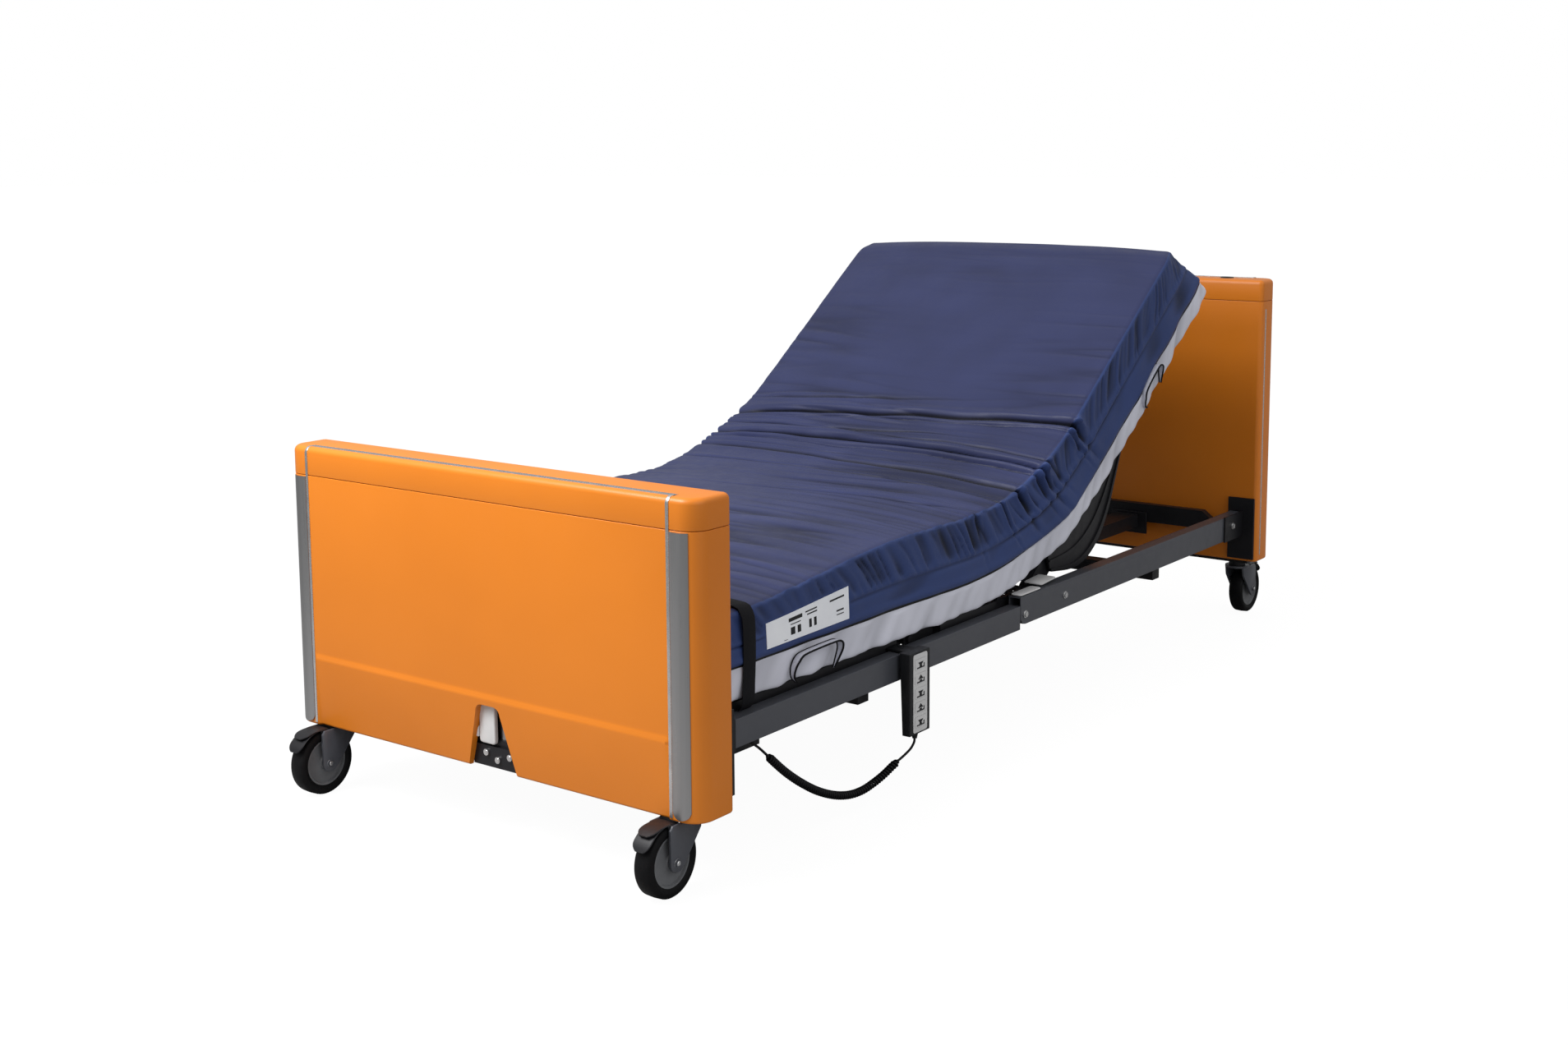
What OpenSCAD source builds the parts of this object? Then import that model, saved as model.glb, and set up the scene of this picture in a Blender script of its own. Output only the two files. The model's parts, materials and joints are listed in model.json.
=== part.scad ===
// Adjustable hospital bed: two end boards that hide the lifting columns, a two-part rail frame,
// a four-section mattress platform with powered back and knee sections, a four-section foam
// mattress, a hand control on a curly cord, and four braked swivel castors.
// +X is the right side seen from the foot, +Y points to the head, +Z is up, millimetres.
// The origin is on the floor under the middle of the bed.

/* [End boards] */
// Width over the end boards
bed_w = 1000; // [980:10:1040]
// Length over the end boards
bed_l = 2340; // [2320:10:2380]
// Thickness of an end board
board_t = 95; // [90:1:100]
// Wall of the moulded board shells
board_wall = 8; // [6:1:9]
// Radius of a board's outer upright corners
corner_r = 38; // [30:1:45]
// Height of the foot board's bottom edge above the floor
foot_z0 = 130; // [128:1:134]
// Height of the foot board's top
foot_z1 = 667; // [660:1:680]
// Height of the head board's bottom edge above the floor
head_z0 = 155; // [150:1:170]
// Height of the head board's top
head_z1 = 878; // [860:1:900]
// Height of the cap that closes a board
cap_h = 54; // [50:1:60]
// Radius of a pole socket in the head board's cap
socket_r = 9.5; // [8:0.5:11]
// Depth of a pole socket
socket_depth = 80; // [60:1:90]

/* [Rails] */
// Outer face of the side rails, from the middle of the bed
rail_x = 460; // [458:1:464]
// Width of a side rail
rail_w = 30; // [28:1:32]
// Wall of the rail tubes
rail_wall = 2.5; // [2:0.5:3]
// Underside of the foot-half rails
foot_rail_z = 216; // [214:1:218]
// Height of the foot-half rails
foot_rail_h = 50; // [48:1:52]
// Underside of the head-half rails
head_rail_z = 224; // [222:1:226]
// Height of the head-half rails
head_rail_h = 60; // [58:1:60]
// Where the two halves of the frame meet
split_y = -62; // [-66:1:-58]

/* [Mattress platform] */
// Height of the section pivots
pivot_z = 268; // [266:1:270]
// Thickness of the section frames
deck_t = 24; // [22:1:24]
// Half width of the section frames
deck_x = 400; // [396:1:402]
// Back section pivot
back_y = 80; // [76:1:84]
// Thigh section pivot
thigh_y = -80; // [-84:1:-76]
// Knee pivot
knee_y = -420; // [-430:1:-410]
// Foot end of the calf section
calf_end_y = -1015; // [-1020:5:-1005]
// Head end of the back section frame when it lies flat
back_end_y = 1030; // [1020:5:1035]
// How far the back section is raised in the stored pose
back_raised = 36; // [30:1:40]
// Highest angle of the back section
back_max = 70; // [60:1:70]
// Highest angle of the thigh section
thigh_max = 35; // [30:1:35]

/* [Mattress] */
// Width of the mattress
mat_w = 880; // [860:5:885]
// Thickness of the mattress
mat_t = 190; // [160:5:190]
// Height of the mattress underside when flat
mat_z = 286; // [286:1:288]
// Foot end of the mattress
mat_foot_y = -1030; // [-1040:5:-1025]
// Head end of the mattress underside when flat
mat_head_y = 1065; // [1050:1:1066]
// How much shorter the top is than the underside at the head end
mat_slant = 76; // [60:1:80]

/* [Castors and lifting gear] */
// Castor stem, from the middle of the bed
castor_x = 430; // [425:1:435]
// Wheel diameter
wheel_d = 125; // [125:1:126]
// Wheel width
wheel_w = 36; // [32:1:36]
// Distance from the stem axis to the wheel axis
trail = 50; // [48:1:52]
// Lifting column pitch from the middle of the bed
leg_x = 330; // [325:1:332]

/* [Hand control] */
// Middle of the hand control along the rail
handset_y = -497; // [-500:1:-494]
// Width of the hand control
handset_w = 66; // [60:1:68]
// Lower end of the hand control
handset_z = 112; // [110:1:114]
// Length of the hand control's case
handset_h = 160; // [158:1:162]
// Thickness of the hand control's case
handset_t = 24; // [22:1:24]

/* [Hidden] */
$fn = 48;

fit = 0.05;                          // radial clearance of a running pin
gap = 0.5;                           // clearance between parts that slide past each other
board_y = bed_l / 2 - board_t / 2;   // middle of a board, where the columns and stems stand
inner_y = bed_l / 2 - board_t;       // inner face of a board
deck_z = pivot_z - deck_t / 2;       // underside of the section frames
bar_z = 144;                         // underside of a castor bar
bar_h = 38;
bar_w = 50;
bar_top = bar_z + bar_h;
pin_r = 8;                           // section pivot pins
lever_r = 105;                       // reach of the actuator levers
rod_z = pivot_z - 100;               // axis of both actuators
knee_lean = thigh_max / 2;           // the knee lever leans this far before the lift starts

orange = [0.90, 0.52, 0.16];
steel_dark = [0.28, 0.29, 0.31];
black = [0.07, 0.07, 0.08];
silver = [0.70, 0.71, 0.73];
navy = [0.20, 0.27, 0.47];

// ---------- helpers ----------
module box(a, b) { translate(a) cube(b - a); }

module both_sides() { children(); mirror([1, 0, 0]) children(); }

module at_head() { mirror([0, 1, 0]) children(); }

// Extrudes an outline drawn in Y and Z along X, centred on x
module along_x(x, w) {
    translate([x - w / 2, 0, 0]) rotate([90, 0, 90]) linear_extrude(w) children();
}

// Cylinder along X between two x values
module rod_x(x0, x1, y, z, r) { translate([x0, y, z]) rotate([0, 90, 0]) cylinder(h = x1 - x0, r = r); }

// Cylinder along Y between two y values
module rod_y(x, y0, y1, z, r) { translate([x, y0, z]) rotate([-90, 0, 0]) cylinder(h = y1 - y0, r = r); }

// Turns a part about a pivot line parallel to X
module turned(y, z, angle) { translate([0, y, z]) rotate([angle, 0, 0]) translate([0, -y, -z]) children(); }

// ---------- end boards ----------
// Plan of a board at the foot end: large radii outside, small ones inside, grown by g
module board_plan(g = 0) {
    x = bed_w / 2 + g;
    y0 = -bed_l / 2 - g;
    y1 = -inner_y + g;
    ro = corner_r + g;
    ri = 12 + g;
    translate([-x, y0 + ro]) square([2 * x, y1 - ri - y0 - ro]);
    translate([-x + ro, y0]) square([2 * (x - ro), y1 - ri - y0]);
    translate([-x + ri, y0 + ro]) square([2 * (x - ri), y1 - y0 - ro]);
    for (s = [-1, 1]) {
        translate([s * (x - ro), y0 + ro]) circle(ro);
        translate([s * (x - ri), y1 - ri]) circle(ri);
    }
}

module board_tube(z0, z1) {
    difference() {
        translate([0, 0, z0]) linear_extrude(z1 - z0) board_plan();
        translate([0, 0, z0 - 1]) linear_extrude(z1 - z0 + 2) board_plan(-board_wall);
    }
}

module board_cap(z1) {
    roof = 12;
    soft = 6;
    difference() {
        union() {
            translate([0, 0, z1 - cap_h]) linear_extrude(cap_h - soft) board_plan();
            for (k = [0 : 2])
                translate([0, 0, z1 - soft + 2 * k]) linear_extrude(2) board_plan(-[0.6, 1.8, 4][k]);
        }
        translate([0, 0, z1 - cap_h - 1]) linear_extrude(cap_h - roof + 1) board_plan(-board_wall);
    }
}

// Arched notch at the bottom of the foot board, where the lifting column shows
module column_notch() {
    arch_r = 15;
    arch_z = foot_z0 + 105;
    polygon([[-34, foot_z0 - 2], [86, foot_z0 - 2], [53, arch_z], [-7, arch_z]]);
    for (x = [8, 38]) translate([x, arch_z]) circle(arch_r);
    translate([8, arch_z]) square([30, arch_r]);
}

module foot_board_shell() {
    color(orange) difference() {
        board_tube(foot_z0, foot_z1 - cap_h);
        translate([0, -bed_l / 2 + board_wall + 1, 0]) rotate([90, 0, 0])
            linear_extrude(board_wall + 2) column_notch();
    }
}

module foot_board_cap() { color(orange) board_cap(foot_z1); }

module head_board_shell() { color(orange) at_head() board_tube(head_z0, head_z1 - cap_h); }

// The head cap carries two upright sockets for a lifting pole or a drip stand
module head_board_cap() {
    socket_x = 383;
    color(orange) difference() {
        union() {
            at_head() board_cap(head_z1);
            for (s = [-1, 1]) translate([s * socket_x, board_y, head_z1 - socket_depth - 6])
                cylinder(h = socket_depth, r = socket_r + 6);
        }
        for (s = [-1, 1]) translate([s * socket_x, board_y, head_z1 - socket_depth])
            cylinder(h = socket_depth + 1, r = socket_r);
    }
}

// Aluminium strip round an outer corner, standing 1.5 mm proud of the shell
module corner_trim(z0, z1) {
    x0 = bed_w / 2 - 56;
    intersection() {
        difference() {
            translate([0, 0, z0]) linear_extrude(z1 - z0) board_plan(1.5);
            translate([0, 0, z0 - 1]) linear_extrude(z1 - z0 + 2) board_plan();
        }
        box([x0, -bed_l / 2 - 3, z0], [x0 + 42, -bed_l / 2 + 40, z1]);
    }
}

module corner_trims() {
    color(silver) both_sides() {
        corner_trim(foot_z0 + 6, foot_z1 - cap_h - 2);
        at_head() corner_trim(head_z0 + 6, head_z1 - cap_h - 2);
    }
}

// Bright bead down the face beside a trim, with the inlay that crosses the top
module bead(z0, z1) {
    x = bed_w / 2 - 59.5;
    both_sides() box([x, -bed_l / 2 - 1.8, z0], [x + 3, -bed_l / 2, z1 - 8]);
    box([-x - 3, -bed_l / 2 + 16, z1], [x + 3, -bed_l / 2 + 24, z1 + 0.8]);
}

module edge_beads() {
    color(silver) {
        bead(foot_z0, foot_z1);
        at_head() bead(head_z0, head_z1);
        both_sides() box([bed_w / 2, bed_l / 2 - 74, head_z0 + 16], [bed_w / 2 + 1, bed_l / 2 - 70, head_z1 - 78]);
    }
}

// ---------- rails ----------
// Rectangular tube along Y on the right-hand side
module rail_tube(z, h, y0, y1) {
    difference() {
        box([rail_x - rail_w, y0, z], [rail_x, y1, z + h]);
        box([rail_x - rail_w + rail_wall, y0 - 1, z + rail_wall],
            [rail_x - rail_wall, y1 + 1, z + h - rail_wall]);
    }
}

bolt_r = 4;
join_bolts = [[-45, 246], [128, 253]];
bracket_t = 6;
bracket_bolt_y = inner_y - 68;

module bolt_holes(points) {
    for (p = points) rod_x(rail_x - rail_wall - 1, rail_x + 1, p[0], p[1], bolt_r + fit);
}

module foot_rail() {
    tongue_end = 165;
    difference() {
        union() {
            rail_tube(foot_rail_z, foot_rail_h, -inner_y + bracket_t, split_y - 2);
            box([rail_x - rail_w + 4, split_y - 60, 230], [rail_x - 4, tongue_end, 262]);
        }
        bolt_holes([[-inner_y + 30, foot_rail_z + 26]]);
    }
}

module head_rail() {
    z1 = head_rail_z + head_rail_h;
    difference() {
        rail_tube(head_rail_z, head_rail_h, split_y, inner_y - bracket_t);
        along_x(rail_x - rail_w / 2, rail_w + 2)
            polygon([[split_y - 1, head_rail_z - 1], [split_y + 26, head_rail_z - 1],
                     [split_y + 9, head_rail_z + 2.4], [split_y - 1, head_rail_z + 14]]);
        bolt_holes(concat(join_bolts, [[bracket_bolt_y, z1 - 26]]));
    }
}

module rail_foot_right() { color(steel_dark) foot_rail(); }
module rail_foot_left() { color(steel_dark) mirror([1, 0, 0]) foot_rail(); }
module rail_head_right() { color(steel_dark) head_rail(); }
module rail_head_left() { color(steel_dark) mirror([1, 0, 0]) head_rail(); }

// Black angle that ties a rail end to a board; reach is how far it runs along the rail
module corner_bracket(z, h, reach, sink, rise) {
    difference() {
        union() {
            box([rail_x - rail_w - 5, inner_y - bracket_t, z - sink], [bed_w / 2 - 6, inner_y, z + h + rise]);
            box([rail_x, inner_y - reach, z - 2], [rail_x + 4, inner_y - bracket_t, z + h + 2]);
        }
        rod_x(rail_x - 1, rail_x + 5, inner_y - (reach > 80 ? 68 : 30), z + (reach > 80 ? h - 26 : 26), bolt_r + fit);
    }
}

module corner_brackets() {
    color(black) both_sides() {
        corner_bracket(head_rail_z, head_rail_h, 112, 62, 36);
        mirror([0, 1, 0]) corner_bracket(foot_rail_z, foot_rail_h, 48, 60, 36);
    }
}

// Folded channels across the boards' inner faces
module cross_channels() {
    half = 385;
    color(black) for (m = [0, 1]) mirror([0, m, 0])
        translate([0, inner_y, 0]) rotate([90, 0, 0]) linear_extrude(22)
            polygon([[-half, 231], [half, 231], [half, 258], [half - 26, 278], [-half + 26, 278], [-half, 258]]);
}

module rail_bolt(x, y, z) {
    rod_x(x - rail_wall, x, y, z, bolt_r);
    rod_x(x, x + 2, y, z, 8);
    rod_x(x + 2, x + 5, y, z, 6);
}

module frame_bolts() {
    color(silver) both_sides() {
        for (p = join_bolts) rail_bolt(rail_x, p[0], p[1]);
        rail_bolt(rail_x + 4, bracket_bolt_y, head_rail_z + head_rail_h - 26);
        rail_bolt(rail_x + 4, -inner_y + 30, foot_rail_z + 26);
    }
}

// ---------- platform ----------
// Bar with a round end and a pivot bore at y, running to y_far
module pivot_plate(x0, x1, y, y_far) {
    r = 15;
    difference() {
        union() {
            box([x0, min(y, y_far), pivot_z - r], [x1, max(y, y_far), pivot_z + r - 3]);
            rod_x(x0, x1, y, pivot_z, r);
        }
        rod_x(x0 - 1, x1 + 1, y, pivot_z, pin_r + fit);
    }
}

// Fixed seat section: slats on one tube between the rails, with the pivot plates of its neighbours
module seat_deck() {
    inside = rail_x - rail_w;
    tube_z = 226;
    tube_h = 28;
    slat_z = pivot_z + 6;
    color(steel_dark) {
        box([-inside, -20, tube_z], [inside, 20, tube_z + tube_h]);
        both_sides() {
            pivot_plate(408, 418, thigh_y, 0);
            pivot_plate(408, 418, back_y, 0);
            box([408, -20, tube_z], [418, 20, pivot_z]);
            box([320, -56, tube_z + tube_h - 1], [334, 46, slat_z]);
        }
        for (y = [-56, -18, 20]) box([-deck_x, y, slat_z], [deck_x, y + 26, slat_z + 6]);
    }
}

// Tubes below the platform that carry the actuators and stiffen the frame
module deck_crossbeams() {
    inside = rail_x - rail_w;
    cross_z = 186;
    cross_h = 30;
    color(black) {
        for (y = [-600, 640]) {
            box([-inside, y - 18, cross_z], [inside, y + 18, cross_z + cross_h]);
            both_sides() box([inside - 12, y - 18, cross_z + cross_h - 1], [inside, y + 18, y < 0 ? 256 : 262]);
        }
        box([118, 500, cross_z + cross_h], [182, inner_y - 22, cross_z + cross_h + 34]);
        box([106, inner_y - 28, cross_z + 14], [206, inner_y - 22, cross_z + cross_h + 40]);
        box([-20, -583, rod_z], [20, back_motor_y, rod_z + 24]);
        box([knee_act_x - 20, knee_motor_y, rod_z], [knee_act_x + 20, 623, rod_z + 24]);
    }
}

slat_w = 56;
slat_pitch = 96;

// Section frame from its pivot at y0 to y1, drawn flat: side tubes, and an end tube and slats that
// sit between them. Welded members of a frame are separate solids a hair's breadth apart
module section_frame(y0, y1) {
    s = sign(y1 - y0);
    side = 20;
    n = floor((abs(y1 - y0) - 70) / slat_pitch);
    both_sides() {
        along_x(deck_x - side / 2, side) {
            translate([min(y0, y1), deck_z]) square([abs(y1 - y0), deck_t]);
            translate([y0, pivot_z]) circle(deck_t / 2);
        }
        rod_x(deck_x - 1, 418, y0, pivot_z, pin_r);
    }
    half = deck_x - side - fit;
    translate([-half, min(y1, y1 - s * 24), deck_z]) cube([2 * half, 24, deck_t - 8 - fit]);
    for (k = [0 : n]) {
        y = y0 + s * (30 + k * slat_pitch);
        translate([-half, min(y, y + s * slat_w), pivot_z + 4]) cube([2 * half, slat_w, 8]);
    }
}

// Lever plate that hangs from a section's pivot hub and takes the actuator's push
module lever(x, w, y, lean) {
    turned(y, pivot_z, lean) difference() {
        along_x(x, w) {
            polygon([[y - 11, pivot_z - lever_r], [y + 11, pivot_z - lever_r],
                     [y + deck_t / 2, pivot_z], [y - deck_t / 2, pivot_z]]);
            translate([y, pivot_z]) circle(deck_t / 2);
            translate([y, pivot_z - lever_r]) circle(11);
        }
        rod_x(x - w, x + w, y, pivot_z - lever_r, 5 + fit);
    }
}

// Hub round the pivot line that joins a pair of levers, 8 thick at x +/- pitch, to the first slat;
// s is the section's side
module lever_hub(x, pitch, reach, y, s) {
    difference() {
        union() {
            rod_x(x - reach, x + reach, y, pivot_z, deck_t / 2);
            box([x - reach, min(y, y + s * 50), deck_z + 2], [x + reach, max(y, y + s * 50), pivot_z + 4 - fit]);
        }
        for (side = [-1, 1])
            translate([x + side * pitch - 4 - fit, y - 60, pivot_z - 40]) cube([8 + 2 * fit, 120, 80]);
    }
}

// Curved side plates that stiffen the raised back below its pivot
module back_rib(x) {
    along_x(x, 10) difference() {
        translate([back_y + 190, deck_z + 84]) circle(180);
        translate([back_y - 10, pivot_z + 4 - fit]) square([420, 300]);
    }
}

module back_frame() {
    color(black) turned(back_y, pivot_z, back_raised) {
        section_frame(back_y, back_end_y);
        both_sides() back_rib(344);
        both_sides() box([390, back_y + 20, deck_z - 22], [deck_x, back_y + 380, deck_z - fit]);
        lever_hub(0, 24, 40, back_y, 1);
    }
    color(black) both_sides() lever(24, 8, back_y, 0);
}

module thigh_frame() {
    color(black) {
        section_frame(thigh_y, knee_y + 16);
        both_sides() {
            box([deck_x - 1, knee_y + 16, deck_z + 2], [deck_x + 4, knee_y + 90, deck_z + deck_t - 2]);
            pivot_plate(deck_x + 4, deck_x + 12, knee_y, knee_y + 90);
        }
        lever_hub(knee_act_x, 16, 30, thigh_y, -1);
        for (s = [-1, 1]) lever(knee_act_x + 16 * s, 8, thigh_y, knee_lean);
    }
}

module calf_frame() { color(black) section_frame(knee_y, calf_end_y); }

// ---------- actuators ----------
rod_r = 10;
eye_r = 13;

// Motor and tube of a linear actuator; dir is the way its rod points along Y
module actuator_body(x, y_mouth, dir) {
    back = y_mouth - dir * act_len;
    difference() {
        union() {
            rod_y(x, min(y_mouth, back), max(y_mouth, back), rod_z, 22);
            translate([x - 34, min(back, back + dir * 96), rod_z - 26]) cube([68, 96, 52]);
            translate([x - 34, min(back + dir * 30, back + dir * 90), rod_z + 20]) cube([30, 60, 34]);
        }
        rod_y(x, min(y_mouth + dir, back + dir * 110), max(y_mouth + dir, back + dir * 110), rod_z, rod_r + fit);
    }
}

module actuator_rod(x, y_eye, length, dir) {
    rod_y(x, min(y_eye - dir * 8, y_eye - dir * length), max(y_eye - dir * 8, y_eye - dir * length), rod_z, rod_r);
    difference() {
        rod_x(x - 11, x + 11, y_eye, rod_z, eye_r);
        rod_x(x - 14, x + 14, y_eye, rod_z, 5 + fit);
    }
}

act_len = 380;
knee_act_x = -120;
knee_eye_y = thigh_y + lever_r * sin(knee_lean);
back_mouth_y = back_y - 96;
knee_mouth_y = knee_eye_y + 30;
back_motor_y = back_mouth_y - act_len;
knee_motor_y = knee_mouth_y + act_len;

module back_actuator_body() { color(black) actuator_body(0, back_mouth_y, 1); }
module back_actuator_rod() { color(silver) actuator_rod(0, back_y, 230, 1); }
module knee_actuator_body() { color(black) actuator_body(knee_act_x, knee_mouth_y, -1); }
module knee_actuator_rod() { color(silver) actuator_rod(knee_act_x, knee_eye_y, 160, -1); }

// ---------- lifting gear inside the boards ----------
// Square column tubes standing at leg_x on both sides
module columns(size, bore, z0, z1) {
    both_sides() translate([leg_x, -board_y, z0]) difference() {
        translate([-size / 2, -size / 2, 0]) cube([size, size, z1 - z0]);
        translate([-bore / 2, -bore / 2, -1]) cube([bore, bore, z1 - z0 + 2]);
    }
}

// Blocks that tie the sliding sleeves to a board's inner wall
module sleeve_pads(z0, z1) {
    both_sides() for (z = [z0 + 20, z1 - 60])
        box([leg_x - 20, -board_y + 25, z], [leg_x + 20, -inner_y - board_wall, z + 40]);
}

module lift_sleeves() {
    color(silver) {
        columns(50, 43, 200, 610);
        sleeve_pads(200, 610);
        at_head() {
            columns(50, 43, 200, 810);
            sleeve_pads(200, 810);
        }
    }
}

module foot_legs() { color(silver) columns(42, 36, bar_top, 592); }
module head_legs() { color(silver) at_head() columns(42, 36, bar_top, 790); }

lift_x = 30;
lift_rod_r = 14;

module lift_tube(z1) {
    translate([lift_x, -board_y, bar_top]) difference() {
        cylinder(h = z1 - bar_top, r = 22);
        translate([0, 0, 4]) cylinder(h = z1, r = lift_rod_r + fit);
    }
}

// The rod hangs from the cap's roof and runs down inside the tube
module lift_rod(z1) {
    translate([lift_x, -board_y, bar_top + 6]) cylinder(h = z1 - 12 - bar_top - 6, r = lift_rod_r);
}

module lift_motor() {
    box([-52, -board_y - 28, bar_top], [7.5, -board_y + 28, bar_top + 120]);
    rod_x(-52, -51, -board_y, bar_top + 60, 20);
}

module foot_lift_tube() { color(silver) lift_tube(570); }
module foot_lift_rod() { color(silver) lift_rod(foot_z1); }
module foot_lift_motor() { color(black) lift_motor(); }
module head_lift_tube() { color(silver) at_head() lift_tube(780); }
module head_lift_rod() { color(silver) at_head() lift_rod(head_z1); }
module head_lift_motor() { color(black) at_head() lift_motor(); }

// Bar that joins two castors; cup houses hold the swivel bearings
module base_bar() {
    half = 468;
    difference() {
        union() {
            box([-half, -board_y - bar_w / 2, bar_z], [half, -board_y + bar_w / 2, bar_top]);
            both_sides() translate([castor_x, -board_y, crown_z + 5.3]) cylinder(h = 12, r = 21);
        }
        both_sides() translate([castor_x, -board_y, crown_z]) cylinder(h = 42, r = stem_r + fit);
    }
}

plate_y = -board_y - bar_w / 2 - 6;

module foot_base_bar() {
    color(steel_dark) {
        base_bar();
        box([-32, plate_y, 132], [84, -board_y - bar_w / 2, 170]);
    }
}

module head_base_bar() { color(steel_dark) at_head() base_bar(); }

module foot_base_bolts() {
    color(silver) for (p = [[2, 158], [30, 148], [60, 158]]) {
        rod_y(p[0], plate_y - 4, plate_y, p[1], 6);
        rod_y(p[0], plate_y - 5, plate_y - 4, p[1], 4);
    }
}

// ---------- castors ----------
stem_r = 8;
axle_r = 4;
wheel_r = wheel_d / 2;
fork_in = wheel_w / 2 + 3;
fork_out = fork_in + 4;
pedal_pivot = [-trail, wheel_r + 42];
crown_z = wheel_d + 3;               // underside of a fork's crown

// All castor parts are drawn with the stem at the origin and the wheel towards -Y
module fork() {
    difference() {
        union() {
            translate([0, 0, crown_z]) cylinder(h = 5, r = 30);
            translate([0, 0, crown_z]) cylinder(h = 34, r = stem_r);
            both_sides() along_x((fork_in + fork_out) / 2, fork_out - fork_in) {
                polygon([[18, crown_z + 4], [14, crown_z - 16], [-trail + 13, wheel_r - 6],
                         [-trail - 13, wheel_r - 2], [-trail - 16, wheel_r + 40], [-32, crown_z],
                         [-22, crown_z + 4]]);
                translate([-trail, wheel_r]) circle(14);
            }
            both_sides() rod_x(fork_out, fork_out + 4, -trail, wheel_r, 7);
        }
        both_sides() rod_x(fork_in - 1, fork_out + 0.5, pedal_pivot[0], pedal_pivot[1], 3 + fit);
    }
    rod_x(-fork_out, fork_out, -trail, wheel_r, axle_r);
}

module wheel() {
    w = wheel_w / 2;
    translate([0, -trail, wheel_r]) rotate([0, 90, 0]) rotate_extrude($fn = 96) {
        difference() {
            union() {
                translate([axle_r + fit, -w]) square([14, 2 * w]);
                translate([10, -w + 9]) square([40, 2 * w - 18]);
                translate([40, -w + 3]) square([10, 2 * w - 6]);
                translate([46, -w]) square([wheel_r - 56, 2 * w]);
                translate([46, -w + 10]) square([wheel_r - 46, 2 * w - 20]);
                for (s = [-1, 1]) translate([wheel_r - 10, s * (w - 10)]) circle(10);
            }
            translate([-10, -w - 1]) square([10 + axle_r + fit, 2 * w + 2]);
        }
    }
}

// Brake pedal: two arms outside the fork, joined by a tread over the wheel's outer side
module pedal() {
    arm_in = fork_out + gap;
    y_tread = -trail - 50;
    both_sides() {
        along_x(arm_in + 1.5, 3) {
            polygon([[-trail - 6, pedal_pivot[1] - 6], [-trail + 6, pedal_pivot[1] + 6],
                     [y_tread - 16, 124], [y_tread - 16, 113], [y_tread, 112]]);
            translate(pedal_pivot) circle(8);
        }
        rod_x(fork_in + 0.5, arm_in + 1, pedal_pivot[0], pedal_pivot[1], 3);
        translate([6, y_tread - 16, 118]) cube([arm_in - 6 + 1, 20, 5]);
    }
    translate([-arm_in, y_tread - 4, 114]) cube([2 * arm_in, 8, 6]);
}

module place_castor(sx, sy) {
    mirror([sx < 0 ? 1 : 0, 0, 0]) mirror([0, sy > 0 ? 1 : 0, 0])
        translate([castor_x, -board_y, 0]) children();
}

module fork_foot_right() { color(steel_dark) place_castor(1, -1) fork(); }
module fork_foot_left() { color(steel_dark) place_castor(-1, -1) fork(); }
module fork_head_right() { color(steel_dark) place_castor(1, 1) fork(); }
module fork_head_left() { color(steel_dark) place_castor(-1, 1) fork(); }
module wheel_foot_right() { color(black) place_castor(1, -1) wheel(); }
module wheel_foot_left() { color(black) place_castor(-1, -1) wheel(); }
module wheel_head_right() { color(black) place_castor(1, 1) wheel(); }
module wheel_head_left() { color(black) place_castor(-1, 1) wheel(); }
module pedal_foot_right() { color(steel_dark) place_castor(1, -1) pedal(); }
module pedal_foot_left() { color(steel_dark) place_castor(-1, -1) pedal(); }
module pedal_head_right() { color(steel_dark) place_castor(1, 1) pedal(); }
module pedal_head_left() { color(steel_dark) place_castor(-1, 1) pedal(); }

// ---------- mattress ----------
// Relief between two mattress sections: an end that leans away from its pivot by an angle
function lean_y(y, side, angle, z) = y + side * (1.5 + (z - pivot_z) * tan(angle));

back_lean = 45;                      // lean of the back block's foot end
thigh_lean = 22;                     // lean of the thigh block's head end

module mattress_slab(points) { along_x(0, mat_w) polygon(points); }

top_z = mat_z + mat_t;

module mattress_calf() {
    color(navy) mattress_slab([[mat_foot_y, mat_z], [knee_y - 1.5, mat_z], [knee_y - 1.5, top_z],
                               [mat_foot_y, top_z - 16]]);
}

module mattress_thigh() {
    color(navy) mattress_slab([[knee_y + 1.5, mat_z], [lean_y(thigh_y, -1, thigh_lean, mat_z), mat_z],
                               [lean_y(thigh_y, -1, thigh_lean, top_z), top_z], [knee_y + 1.5, top_z]]);
}

// The seat block's ends lean in by what is left of each neighbour's fold
module mattress_seat() {
    near = thigh_max - thigh_lean;
    far = back_max - back_lean;
    color(navy) mattress_slab([[lean_y(thigh_y, 1, near, mat_z), mat_z], [lean_y(back_y, -1, far, mat_z), mat_z],
                               [lean_y(back_y, -1, far, top_z), top_z], [lean_y(thigh_y, 1, near, top_z), top_z]]);
}

module mattress_back() {
    color(navy) turned(back_y, pivot_z, back_raised)
        mattress_slab([[lean_y(back_y, 1, back_lean, mat_z), mat_z], [mat_head_y, mat_z],
                       [mat_head_y - mat_slant, top_z], [lean_y(back_y, 1, back_lean, top_z), top_z]]);
}

// ---------- hand control ----------
handset_x = rail_x + 6;              // back of the case
face_x = handset_x + handset_t;      // front of the case
key_count = 5;
key_size = [38, 20];
key_pitch = 28;

function key_z(k) = handset_z + 24 + k * key_pitch;

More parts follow.
